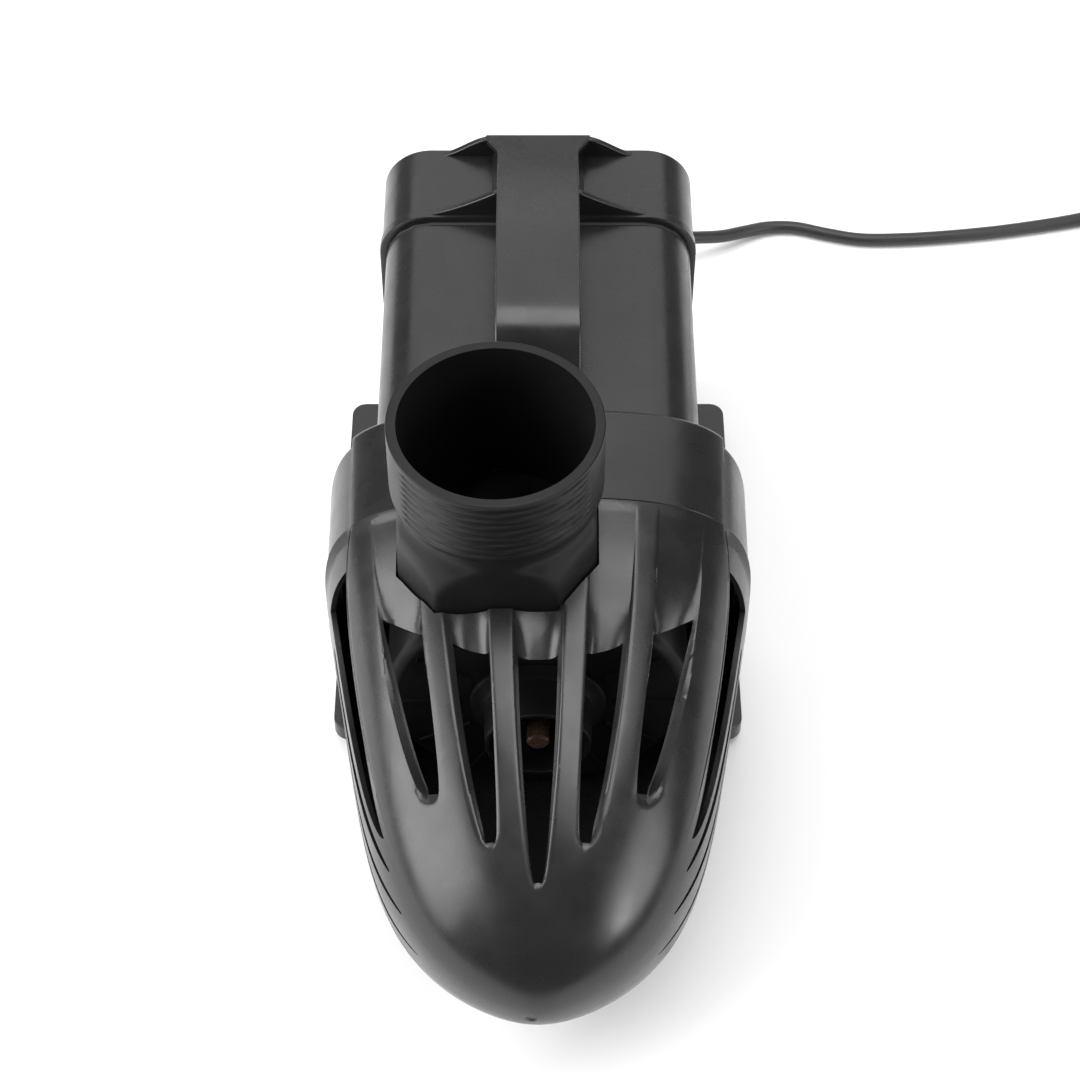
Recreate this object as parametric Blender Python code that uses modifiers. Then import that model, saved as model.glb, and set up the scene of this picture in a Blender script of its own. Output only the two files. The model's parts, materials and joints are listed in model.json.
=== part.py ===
"""Submersible pond pump with a helmet-shaped strainer cage.

Frame: metres, +Z up, +Y towards the motor's end cap, +X to the right of
someone looking along +Y.  The origin is under the middle of the body, on the
surface the pump stands on.  The power cord lies beyond the end cap.
"""
import math

import bmesh
import bpy
from mathutils import Matrix, Vector

# ---------------------------------------------------------------- dimensions
GAP = 0.0003                    # clearance left between pieces that touch
WALL = 0.003                    # moulded wall thickness

BODY_AXIS_Z = 0.091             # middle height of the cage and shroud
HALF_HEIGHT = 0.077             # cage and shroud, z 14 mm to 168 mm
HALF_WIDTH = 0.0940             # cage and shroud at their seam
SEAM_Y = -0.011                 # parting face between cage and shroud
NOSE_Y = -0.212                 # tip of the cage
NOSE_Z = 0.0863                 # height of the tip
SHROUD_REAR_Y = 0.0405
SHROUD_REAR_HALF_WIDTH = 0.0945

MOTOR_Z = 0.088                 # height of the impeller and motor axis
OUTLET_X = -0.017               # axis of the discharge pipe
OUTLET_Y = -0.0215
OUTLET_RIM_Z = 0.228
OUTLET_R = 0.04445              # 3 inch pipe thread, outside radius
OUTLET_BORE_R = 0.0395
THREAD_LENGTH = 0.033
NECK_R = 0.0417
DUCT_HALF = 0.0415              # half width of the square discharge duct
DUCT_CHAMFER = 0.016
DUCT_TOP_Z = 0.170              # where the square starts to turn round
NECK_Z = 0.188                  # where it has become round
DUCT_BOTTOM_Z = 0.120

DRUM_R = 0.066
DRUM_WALL = 0.004
DRUM_FRONT_Y = -0.0595
STACK_Y = 0.0205                # rear face of the volute
FLANGE_HALF = (0.079, 0.060)
FLANGE_THICK = 0.008
PLATE_THICK = 0.005
SUCTION_R = 0.0205

HOUSING_HALF = (0.0718, 0.070)
HOUSING_Z = 0.090
HOUSING_FRONT_Y = 0.029
HOUSING_REAR_Y = 0.160
HOUSING_CORNER = 0.022
CAP_HALF = (0.0740, 0.0715)
CAP_FRONT_Y = 0.1625
CAP_REAR_Y = 0.212
CAP_CORNER = 0.023

BASE_HALF_WIDTH = 0.0956
BASE_CORNER = 0.007
BASE_Y = (-0.0240, 0.1790)
BASE_Z = (0.004, 0.0137)
FOOT_R = 0.012

SHAFT_R = 0.005
BUSH_R = 0.009
BUSH_BORE_R = 0.0053
CAN_R = 0.0255
ROTOR_R = 0.0225
STATOR_R = 0.058

STRAP_HALF_WIDTH = 0.019
STRAP_THICK = 0.004

CORD_R = 0.0035
CORD_EXIT = (0.040, 0.034)      # X and Z of the cord gland on the end cap
COIL_CENTRE = (0.385, 0.2785)
COIL_R = (0.024, 0.060)         # inner and outer radius
COIL_HEIGHT = 0.030
PLUG_X = 0.441
PLUG_Z = 0.0125

# Width of the cage slots at their rear end, and their reach along Y.
# Each entry: angle from the top (degrees), rear Y, front Y, half width.
TOP_SLOTS = (
    (0.0, -0.087, -0.177, 0.0085),
    (23.8, -0.083, -0.163, 0.0085),
    (43.8, -0.069, -0.143, 0.0090),
)
SIDE_SLOTS = (
    (72.0, -0.027, -0.143, 0.0100),
    (85.0, -0.040, -0.158, 0.0035),
    (93.0, -0.040, -0.172, 0.0035),
    (101.0, -0.040, -0.182, 0.0035),
    (110.0, -0.040, -0.176, 0.0035),
)

# How every slot narrows: distance along it, and share of its rear width.
SLOT_TAPER = ((0.0, 1.0), (0.35, 0.93), (0.7, 0.62), (1.0, 0.2))

# Screw positions, each mirrored in X.
VOLUTE_SCREW = (0.0675, 0.046)  # X, and height above and below the middle
CAP_SCREW = (0.0585, 0.058)
SHROUD_BASE_SCREW = (0.045, 0.012)
HOUSING_BASE_SCREW = (0.045, 0.138)
HANDLE_SCREW = (0.010, 0.031)
# Screw sizes: radius and height of the head, radius and length of the shank.
VOLUTE_SCREW_SIZE = (0.0045, 0.0040, 0.0025, 0.0300)
CAP_SCREW_SIZE = (0.0052, 0.0040, 0.0025, 0.0700)
BASE_SCREW_SIZE = (0.0048, 0.0035, 0.0020, 0.0150)
HANDLE_SCREW_SIZE = (0.0042, 0.0025, 0.0019, 0.0068)
CAP_SEAT_DEPTH = 0.006          # depth of the screw seats in the end cap
BASE_SEAT_Z = 0.0090            # top of the screw seats in the base plate
BASE_SEAT_R, BASE_HOLE_R = 0.0055, 0.0024
FOOT_INSET = 0.018              # pad centre from the base plate's edges
FOOT_RECESS = 0.003             # depth to which the pads sit in the plate

# Route of the cord's uncoiled stretch, from the strain relief to the coil.
CORD_ROUTE = (
    (0.0400, 0.2616, 0.0340),
    (0.0402, 0.2690, 0.0339),
    (0.0425, 0.2775, 0.0325),
    (0.0490, 0.2860, 0.0290),
    (0.0600, 0.2925, 0.0240),
    (0.0730, 0.2965, 0.0190),
    (0.0870, 0.3000, 0.0140),
    (0.1010, 0.3060, 0.0090),
    (0.1140, 0.3130, 0.0055),
    (0.1280, 0.3180, 0.0040),
    (0.1430, 0.3180, 0.0037),
    (0.1600, 0.3130, 0.0037),
    (0.1780, 0.3090, 0.0037),
    (0.2000, 0.3090, 0.0037),
    (0.2250, 0.3110, 0.0037),
    (0.2550, 0.3150, 0.0037),
    (0.2900, 0.3220, 0.0037),
    (0.3250, 0.3310, 0.0037),
    (0.3530, 0.3345, 0.0037),
)
CORD_STEP = 0.016               # distance between points of the cord's tube


# ------------------------------------------------------------------ helpers
def clear_scene():
    """Remove what a new file starts with."""
    for obj in list(bpy.data.objects):
        bpy.data.objects.remove(obj, do_unlink=True)


def make_collection(name):
    """A new collection under the scene's own."""
    group = bpy.data.collections.new(name)
    bpy.context.scene.collection.children.link(group)
    return group


def make_material(name, color, roughness, metallic=0.0):
    """A Principled material."""
    material = bpy.data.materials.new(name)
    material.use_nodes = True
    shader = material.node_tree.nodes["Principled BSDF"]
    shader.inputs["Base Color"].default_value = (*color, 1.0)
    shader.inputs["Roughness"].default_value = roughness
    shader.inputs["Metallic"].default_value = metallic
    return material


clear_scene()
PARTS = make_collection("pond_pump")
CUTTERS = make_collection("cutters")


def add_object(name, mesh, matrix=None, group=None):
    """Link a mesh as an object in the parts or the cutters collection."""
    obj = bpy.data.objects.new(name, mesh)
    (group or PARTS).objects.link(obj)
    if matrix is not None:
        obj.matrix_world = matrix
    return obj


def mesh_from(name, build):
    """Run build on an empty BMesh and return the result as a mesh."""
    bm = bmesh.new()
    build(bm)
    bmesh.ops.recalc_face_normals(bm, faces=bm.faces)
    mesh = bpy.data.meshes.new(name)
    bm.to_mesh(mesh)
    bm.free()
    return mesh


def axis_matrix(axis, centre):
    """Placement whose local Z lies along the world axis 'X', 'Y' or 'Z'."""
    turn = {
        "X": Matrix.Rotation(math.radians(90), 4, "Y"),
        "Y": Matrix.Rotation(math.radians(-90), 4, "X"),
        "Z": Matrix.Identity(4),
    }[axis]
    return Matrix.Translation(centre) @ turn


def cylinder(name, radius, start, end, axis="Z", at=(0, 0), sides=24, group=None):
    """A cylinder from start to end along an axis; at is its other two places."""
    middle = (start + end) / 2
    centre = {
        "X": (middle, at[0], at[1]),
        "Y": (at[0], middle, at[1]),
        "Z": (at[0], at[1], middle),
    }[axis]

    def build(bm):
        bmesh.ops.create_cone(bm, cap_ends=True, segments=sides, radius1=radius,
                              radius2=radius, depth=abs(end - start))
    return add_object(name, mesh_from(name, build), axis_matrix(axis, centre), group)


def box(name, low, high, group=None, rounding=0.0, edges="Y", segments=4):
    """A box between two corners, with the edges along one axis rounded."""
    size = [b - a for a, b in zip(low, high)]
    centre = [(a + b) / 2 for a, b in zip(low, high)]
    along = "XYZ".index(edges)

    def build(bm):
        bmesh.ops.create_cube(bm, size=1.0)
        bmesh.ops.scale(bm, vec=size, verts=bm.verts)
        if rounding > 0.0:
            picked = [e for e in bm.edges
                      if abs((e.verts[0].co - e.verts[1].co)[along]) > size[along] * 0.9]
            bmesh.ops.bevel(bm, geom=picked, offset=rounding, segments=segments,
                            profile=0.5, affect="EDGES", offset_type="OFFSET")
    matrix = Matrix.Translation(centre)
    return add_object(name, mesh_from(name, build), matrix, group)


def turned(name, profile, matrix, steps=32, closed=False, group=None):
    """A turned piece: a profile of (radius, height) with a Screw modifier.

    The profile runs down its outer side.  It starts and ends on the axis,
    or closed joins its ends to make a ring.
    """
    mesh = bpy.data.meshes.new(name)
    count = len(profile)
    edges = [(i, i + 1) for i in range(count - 1)]
    if closed:
        edges.append((count - 1, 0))
    mesh.from_pydata([(r, 0.0, h) for r, h in profile], edges, [])
    obj = add_object(name, mesh, matrix, group)
    screw = obj.modifiers.new("turn", "SCREW")
    screw.axis = "Z"
    screw.steps = steps
    screw.render_steps = steps
    screw.use_merge_vertices = True
    screw.merge_threshold = 0.00001
    return obj


def turned_y(name, profile, x=0.0, z=MOTOR_Z, **options):
    """A turned piece on an axis along Y; heights in the profile are Y."""
    return turned(name, profile, axis_matrix("Y", (x, 0.0, z)), **options)


def ring_profile(inner, outer, low, high):
    """Profile of a plain ring with a rectangular section."""
    return [(outer, high), (outer, low), (inner, low), (inner, high)]


def round_ring_profile(middle, height, radius, sides=6):
    """Profile of a ring with a round section, such as an O-ring."""
    angles = [math.pi / 2 - 2 * math.pi * i / sides for i in range(sides)]
    return [(middle + radius * math.cos(a), height + radius * math.sin(a)) for a in angles]


def skin(name, rings, close_loop=False, group=None):
    """A loft through rings of equal size, closed end to end or capped.

    A ring of one point ends the loft in a pole.
    """
    def build(bm):
        loops = [[bm.verts.new(p) for p in ring] for ring in rings]
        pairs = list(zip(loops[:-1], loops[1:]))
        if close_loop:
            pairs.append((loops[-1], loops[0]))
        for first, second in pairs:
            bridge(bm, first, second)
        if not close_loop:
            for end in (loops[0], loops[-1]):
                if len(end) > 2:
                    bm.faces.new(end)
    return add_object(name, mesh_from(name, build), group=group)


def bridge(bm, first, second):
    """Quads between two rings, or triangles to a ring of one point."""
    count = max(len(first), len(second))
    for i in range(count):
        j = (i + 1) % count
        if len(first) == 1:
            bm.faces.new((first[0], second[i], second[j]))
        elif len(second) == 1:
            bm.faces.new((first[i], first[j], second[0]))
        else:
            bm.faces.new((first[i], first[j], second[j], second[i]))


def outline_solid(name, outline, depth, matrix, group=None):
    """A flat outline given depth: a filled 2D curve turned into a mesh."""
    data = bpy.data.curves.new(name, "CURVE")
    data.dimensions = "2D"
    data.fill_mode = "BOTH"
    data.extrude = depth / 2
    spline = data.splines.new("POLY")
    spline.points.add(len(outline) - 1)
    for point, (u, v) in zip(spline.points, outline):
        point.co = (u, v, 0.0, 1.0)
    spline.use_cyclic_u = True
    return curve_to_mesh(name, data, matrix, group)


def curve_to_mesh(name, data, matrix, group=None):
    """Turn a curve into a mesh object with its caps welded."""
    curve = bpy.data.objects.new(name + "_curve", data)
    bpy.context.scene.collection.objects.link(curve)
    bpy.context.view_layer.update()
    graph = bpy.context.evaluated_depsgraph_get()
    mesh = bpy.data.meshes.new_from_object(curve.evaluated_get(graph))
    bm = bmesh.new()
    bm.from_mesh(mesh)
    bmesh.ops.remove_doubles(bm, verts=bm.verts, dist=0.00001)
    bmesh.ops.recalc_face_normals(bm, faces=bm.faces)
    bm.to_mesh(mesh)
    bm.free()
    bpy.data.objects.remove(curve, do_unlink=True)
    return add_object(name, mesh, matrix, group)


def combine(target, other, operation):
    """Add an exact Boolean and keep the other object as a hidden cutter."""
    modifier = target.modifiers.new(operation.lower(), "BOOLEAN")
    modifier.operation = operation
    modifier.solver = "EXACT"
    modifier.object = other
    if other.name not in CUTTERS.objects:
        CUTTERS.objects.link(other)
    if other.name in PARTS.objects:
        PARTS.objects.unlink(other)
    other.hide_render = True
    other.display_type = "WIRE"


def cut(target, *cutters):
    """Subtract each cutter from the target."""
    for cutter in cutters:
        combine(target, cutter, "DIFFERENCE")


def join(target, *pieces):
    """Unite each piece with the target."""
    for piece in pieces:
        combine(target, piece, "UNION")


def finish(obj, material, smooth_angle=35.0):
    """Give a part its material and shade its round faces smooth."""
    obj.data.materials.clear()
    obj.data.materials.append(material)
    obj.data.shade_smooth()
    obj.data.set_sharp_from_angle(angle=math.radians(smooth_angle))
    return obj


def signed_power(value, exponent):
    """|value| to a power, with the sign of value."""
    return math.copysign(abs(value) ** exponent, value)


def superellipse(y, half_w, half_h, centre_z, top_q, bottom_q, count=40):
    """A rounded section in the XZ plane, squarer as its exponents grow."""
    ring = []
    for i in range(count):
        angle = 2 * math.pi * i / count
        q = top_q if math.sin(angle) >= 0 else bottom_q
        x = half_w * signed_power(math.cos(angle), 2 / q)
        z = centre_z + half_h * signed_power(math.sin(angle), 2 / q)
        ring.append(Vector((x, y, z)))
    return ring


def mirrored(x, values):
    """Both X signs with each of the other values."""
    return [(sign * x, value) for sign in (-1, 1) for value in values]


# ------------------------------------------------------- cage and its shroud
def cage_section(u, inset, length):
    """One ring of the cage; u runs from 0 at the seam to 1 at the nose."""
    if u >= 1.0:
        return [Vector((0.0, SEAM_Y - GAP - length, NOSE_Z))]
    half_w = (HALF_WIDTH - inset) * (1 - 0.366 * u) * (1 - u ** 6.96) ** (1 / 1.53)
    half_h = (HALF_HEIGHT - inset) * (1 - 0.21 * u) * (1 - u ** 2.335) ** 0.5
    centre_z = BODY_AXIS_Z + (NOSE_Z - BODY_AXIS_Z) * u
    top_q = 3.2 - 1.1 * u
    bottom_q = 4.6 - 2.4 * u
    return superellipse(SEAM_Y - GAP - length * u, half_w, half_h, centre_z, top_q, bottom_q)


def cage_rings(inset, length, steps):
    """Rings from the seam to the nose, closer together near the nose."""
    return [cage_section(math.sin(math.pi / 2 * i / steps), inset, length)
            for i in range(steps + 1)]


def slot_cutter(name, angle, rear_y, front_y, half_width):
    """A pointed prism that stands out from the motor axis at an angle."""
    length = rear_y - front_y
    right = [(half_width * share, rear_y - length * along) for along, share in SLOT_TAPER]
    outline = [(-x, y) for x, y in right] + right[::-1]
    reach = 0.10
    turn = Matrix.Rotation(math.radians(angle), 4, "Y")
    centre = Matrix.Translation((0.0, 0.0, BODY_AXIS_Z))
    out = Matrix.Translation((0.0, 0.0, 0.020 + reach / 2))
    return outline_solid(name, outline, reach, centre @ turn @ out, CUTTERS)


def duct_outline(grow):
    """The chamfered square of the discharge duct in plan, grown all round."""
    half = DUCT_HALF + grow
    chamfer = DUCT_CHAMFER + grow * 0.6
    corners = []
    for sx, sy in ((1, 1), (-1, 1), (-1, -1), (1, -1)):
        near = (OUTLET_X + sx * half, OUTLET_Y + sy * (half - chamfer))
        far = (OUTLET_X + sx * (half - chamfer), OUTLET_Y + sy * half)
        corners += [near, far] if sx == sy else [far, near]
    return corners


def tongue(sx, z):
    """A stepped tongue on the cage's inner wall that reaches into the shroud."""
    outline = [(0.0852, -0.026), (0.0893, -0.026), (0.0893, -0.0118),
               (0.0879, -0.0118), (0.0879, -0.003), (0.0852, -0.003)]
    place = Matrix.Translation((0.0, 0.0, z))
    return outline_solid("cage_tongue", [(sx * x, y) for x, y in outline], 0.014, place)


def make_front_cage(material):
    """The slotted helmet that strains the water, open at its rear."""
    length = SEAM_Y - GAP - NOSE_Y
    outer = cage_rings(0.0, length, 12)
    inner = cage_rings(WALL, length - WALL, 8)
    cage = skin("front_cage", outer[::-1] + inner)
    slots = [slot_cutter("top_slot", sign * a, r, f, w)
             for a, r, f, w in TOP_SLOTS for sign in (-1, 1) if a or sign > 0]
    slots += [slot_cutter("side_slot", sign * a, r, f, w)
              for a, r, f, w in SIDE_SLOTS for sign in (-1, 1)]
    opening = outline_solid("cage_duct_cut", duct_outline(0.001), 0.10,
                            Matrix.Translation((0.0, 0.0, 0.170)), CUTTERS)
    cut(cage, *slots, opening)
    join(cage, *[tongue(sx, z) for sx in (-1, 1) for z in (0.070, 0.112)])
    return finish(cage, material)


def shroud_ring(y, inset):
    """One ring of the shroud, widening a little to the rear."""
    blend = (y - SEAM_Y) / (SHROUD_REAR_Y - SEAM_Y)
    half_w = HALF_WIDTH + (SHROUD_REAR_HALF_WIDTH - HALF_WIDTH) * blend - inset
    half_h = HALF_HEIGHT - inset
    return superellipse(y, half_w, half_h, BODY_AXIS_Z, 3.2 + 0.3 * blend, 4.6 + blend)


def housing_opening(y):
    """The ring round the motor housing in the shroud's rear wall."""
    clear = 0.0005
    return superellipse(y, HOUSING_HALF[0] + clear, HOUSING_HALF[1] + clear,
                        HOUSING_Z, 9.0, 9.0)


def make_rear_shroud(material):
    """The plain band behind the seam, round the volute and the motor's front."""
    rear = SHROUD_REAR_Y
    rings = [shroud_ring(SEAM_Y, 0.0), shroud_ring(rear - 0.008, 0.0),
             shroud_ring(rear - 0.0025, 0.0008), shroud_ring(rear, 0.0030),
             housing_opening(rear), housing_opening(rear - WALL),
             shroud_ring(rear - WALL, WALL), shroud_ring(SEAM_Y, WALL)]
    shroud = skin("rear_shroud", rings, close_loop=True)
    x, y = SHROUD_BASE_SCREW
    join(shroud, *[cylinder("shroud_boss", 0.006, 0.0150, 0.026, at=(sx * x, y))
                   for sx in (-1, 1)])
    holes = [cylinder("shroud_screw_hole", 0.0023, 0.010, 0.0245, at=(sx * x, y), sides=12)
             for sx in (-1, 1)]
    hx, hy = HANDLE_SCREW
    holes += [cylinder("handle_screw_hole", 0.0022, 0.160, 0.175, at=(sx * hx, hy), sides=12)
              for sx in (-1, 1)]
    opening = outline_solid("shroud_duct_cut", duct_outline(0.001), 0.10,
                            Matrix.Translation((0.0, 0.0, 0.190)), CUTTERS)
    strap_slot = box("strap_slot", (-0.0196, 0.0330, 0.1603), (0.0196, 0.050, 0.1654))
    cut(shroud, opening, strap_slot, *holes)
    return finish(shroud, material)


# ----------------------------------------------------------------- wet end
def duct_ring(z, morph, count=32):
    """A ring of the discharge duct: morph 0 is the chamfered square, 1 round."""
    ring = []
    for i in range(count):
        angle = 2 * math.pi * (i + 0.5) / count
        c, s = math.cos(angle), math.sin(angle)
        to_side = DUCT_HALF / max(abs(c), abs(s))
        to_chamfer = (2 * DUCT_HALF - DUCT_CHAMFER) / (abs(c) + abs(s))
        radius = (1 - morph) * min(to_side, to_chamfer) + morph * NECK_R
        ring.append(Vector((OUTLET_X + radius * c, OUTLET_Y + radius * s, z)))
    return ring


def pipe_rings():
    """Rings of the discharge from the drum up to the round neck."""
    return [duct_ring(DUCT_BOTTOM_Z, 0.0), duct_ring(DUCT_TOP_Z, 0.0),
            duct_ring((DUCT_TOP_Z + NECK_Z) / 2, 0.6), duct_ring(NECK_Z, 1.0),
            duct_ring(NECK_Z + 0.003, 1.0)]


def thread_profile():
    """Outer side of the pipe from its rim down; the thread is a plain sleeve."""
    low = OUTLET_RIM_Z - THREAD_LENGTH
    return [(0.0, OUTLET_RIM_Z), (OUTLET_R - 0.0008, OUTLET_RIM_Z),
            (OUTLET_R, OUTLET_RIM_Z - 0.0008), (OUTLET_R, low),
            (NECK_R + 0.0004, low - 0.004), (NECK_R + 0.0004, NECK_Z - 0.001),
            (0.0, NECK_Z - 0.001)]


def make_volute_casing(material):
    """Drum, square duct, threaded outlet and bolted flange in one moulding."""
    half_w, half_h = FLANGE_HALF
    flange = box("volute_casing", (-half_w, STACK_Y - FLANGE_THICK, MOTOR_Z - half_h),
                 (half_w, STACK_Y, MOTOR_Z + half_h), rounding=0.020)
    drum = cylinder("drum", DRUM_R, DRUM_FRONT_Y, STACK_Y - 0.002, "Y", (0.0, MOTOR_Z), 40)
    duct = skin("duct", pipe_rings())
    pipe = turned("threaded_pipe", thread_profile(),
                  Matrix.Translation((OUTLET_X, OUTLET_Y, 0.0)), steps=32)
    cavity = cylinder("drum_cavity", DRUM_R - DRUM_WALL, DRUM_FRONT_Y + DRUM_WALL,
                      STACK_Y + 0.01, "Y", (0.0, MOTOR_Z), 40)
    bore = cylinder("outlet_bore", OUTLET_BORE_R, DUCT_BOTTOM_Z + 0.004, OUTLET_RIM_Z + 0.01,
                    "Z", (OUTLET_X, OUTLET_Y), 32)
    inlet = cylinder("inlet", SUCTION_R + 0.004, DRUM_FRONT_Y - 0.01, DRUM_FRONT_Y + 0.02,
                     "Y", (0.0, MOTOR_Z), 32)
    groove = turned_y("seal_groove", ring_profile(0.0635, 0.0672, STACK_Y - 0.0022,
                                                 STACK_Y + 0.004), steps=40, closed=True)
    x, dz = VOLUTE_SCREW
    holes = [cylinder("volute_screw_hole", 0.0028, -0.02, 0.04, "Y", (px, MOTOR_Z + pz), 12)
             for px, pz in mirrored(x, (-dz, dz))]
    join(flange, drum, duct, pipe)
    cut(flange, cavity, bore, inlet, groove, *holes)
    return finish(flange, material)


def make_suction_ring(material):
    """The collar that stands out of the volute's inlet towards the nose."""
    front, wall = -0.0836, DRUM_FRONT_Y
    profile = [(SUCTION_R + 0.0036, DRUM_FRONT_Y + 0.003), (SUCTION_R + 0.0036, wall - GAP),
               (SUCTION_R + 0.009, wall - GAP), (SUCTION_R + 0.009, wall - 0.003),
               (SUCTION_R + 0.0025, wall - 0.0042), (SUCTION_R + 0.002, front + 0.001),
               (SUCTION_R + 0.001, front), (SUCTION_R, front + 0.001),
               (SUCTION_R, DRUM_FRONT_Y + 0.003)]
    return finish(turned_y("suction_ring", profile, closed=True), material)


def make_bearing_plate(material):
    """The plate between the volute and the motor, with the front bush's hub."""
    half_w, half_h = FLANGE_HALF
    front = STACK_Y + GAP
    rear = front + PLATE_THICK
    plate = box("bearing_plate", (-half_w, front, MOTOR_Z - half_h),
                (half_w, rear, MOTOR_Z + half_h), rounding=0.020)
    hub = cylinder("bush_hub", 0.0130, front + 0.001, rear + 0.009, "Y", (0.0, MOTOR_Z))
    bore = cylinder("bush_bore", BUSH_R + GAP, front - 0.01, rear + 0.02, "Y", (0.0, MOTOR_Z))
    x, dz = VOLUTE_SCREW
    holes = [cylinder("plate_screw_hole", 0.0028, -0.02, 0.04, "Y", (px, MOTOR_Z + pz), 12)
             for px, pz in mirrored(x, (-dz, dz))]
    join(plate, hub)
    cut(plate, bore, *holes)
    return finish(plate, material)


def make_seal(name, middle, y, radius, material):
    """An O-ring round the motor axis."""
    profile = round_ring_profile(middle, y, radius)
    return finish(turned_y(name, profile, steps=28, closed=True), material)


# ------------------------------------------------------------ rotating group
def vane_outline(inner, outer, sweep, thick, steps=5):
    """A backward-curved vane in plan, as an arc of even thickness."""
    middle = []
    for i in range(steps + 1):
        t = i / steps
        radius = inner + (outer - inner) * t
        angle = math.radians(sweep) * t ** 1.3
        middle.append((radius, angle))
    left = [(r * math.cos(a - thick / (2 * r)), r * math.sin(a - thick / (2 * r)))
            for r, a in middle]
    right = [(r * math.cos(a + thick / (2 * r)), r * math.sin(a + thick / (2 * r)))
             for r, a in middle]
    return left + right[::-1]


def make_impeller(material, vanes=6):
    """Semi-open impeller: hub, back disc and curved vanes."""
    front, back = -0.050, 0.006
    profile = [(0.054, back), (0.054, back - 0.004), (0.018, back - 0.004),
               (0.011, -0.030), (0.0095, front), (BUSH_BORE_R, front), (BUSH_BORE_R, back)]
    impeller = turned_y("impeller", profile, closed=True)
    outline = vane_outline(0.0125, 0.0525, 55.0, 0.003)
    depth = 0.036
    for i in range(vanes):
        place = axis_matrix("Y", (0.0, back - 0.003 - depth / 2, MOTOR_Z))
        spin = Matrix.Rotation(2 * math.pi * i / vanes, 4, "Z")
        join(impeller, outline_solid("vane", outline, depth, place @ spin, CUTTERS))
    return finish(impeller, material)


def make_rotor_parts(steel, ceramic, magnet, plastic):
    """Everything that turns; each origin is on the motor axis."""
    shaft = turned_y("rotor_shaft", [(0.0, 0.1480), (SHAFT_R - 0.0005, 0.1480),
                                     (SHAFT_R, 0.1475), (SHAFT_R, -0.0810),
                                     (SHAFT_R - 0.001, -0.0820), (0.0, -0.0820)], steps=24)
    finish(shaft, ceramic)
    rotor = turned_y("magnet_rotor", ring_profile(BUSH_BORE_R, ROTOR_R, 0.045, 0.132),
                     closed=True)
    finish(rotor, magnet)
    make_impeller(plastic)
    nut = cylinder("impeller_nut", 0.0085, -0.0580, -0.0503, "Y", (0.0, MOTOR_Z), 6)
    cut(nut, cylinder("nut_bore", BUSH_BORE_R, -0.07, -0.04, "Y", (0.0, MOTOR_Z)))
    finish(nut, steel)


def make_bushes(ceramic, rubber):
    """The two plain bearings and the thrust washer on the shaft."""
    hub_end = STACK_Y + GAP + PLATE_THICK + 0.009
    front = ring_profile(BUSH_BORE_R, BUSH_R, STACK_Y + 0.0005, hub_end - 0.0005)
    finish(turned_y("front_bush", front, steps=24, closed=True), ceramic)
    rear = ring_profile(BUSH_BORE_R, BUSH_R, 0.1403, 0.1487)
    finish(turned_y("rear_bush", rear, steps=24, closed=True), ceramic)
    washer = ring_profile(BUSH_BORE_R, 0.0088, hub_end + GAP, hub_end + 0.0018)
    finish(turned_y("thrust_washer", washer, steps=24, closed=True), rubber)


# -------------------------------------------------------------------- motor
def make_rotor_can(material):
    """The thin cup that keeps water off the windings, with a rear bush seat."""
    flange = STACK_Y + GAP + PLATE_THICK + GAP
    inner = CAN_R - 0.0015
    profile = [(0.0, 0.1515), (CAN_R, 0.1515), (CAN_R, flange + 0.0024),
               (0.040, flange + 0.0024), (0.040, flange), (inner, flange),
               (inner, 0.1395), (BUSH_R + GAP, 0.1395), (BUSH_R + GAP, 0.1490),
               (0.0, 0.1490)]
    return finish(turned_y("rotor_can", profile), material)


def make_stator(iron, copper, plastic):
    """Laminated core with a winding at each end, and a thermal cut-out."""
    bore = CAN_R + GAP
    core = ring_profile(bore, STATOR_R, 0.058, 0.114)
    finish(turned_y("stator_core", core, closed=True), iron)
    for name, low, high in (("front_winding", 0.0400, 0.0577),
                            ("rear_winding", 0.1143, 0.1320)):
        soft = 0.004
        profile = [(0.052 - soft, high), (0.052, high - soft), (0.052, low + soft),
                   (0.052 - soft, low), (0.029 + soft, low), (0.029, low + soft),
                   (0.029, high - soft), (0.029 + soft, high)]
        finish(turned_y(name, profile, closed=True), copper)
    cutout = box("thermal_cutout", (0.034, 0.1323, 0.082), (0.046, 0.1383, 0.104),
                 rounding=0.0012, edges="Z", segments=2)
    finish(cutout, plastic)


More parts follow.
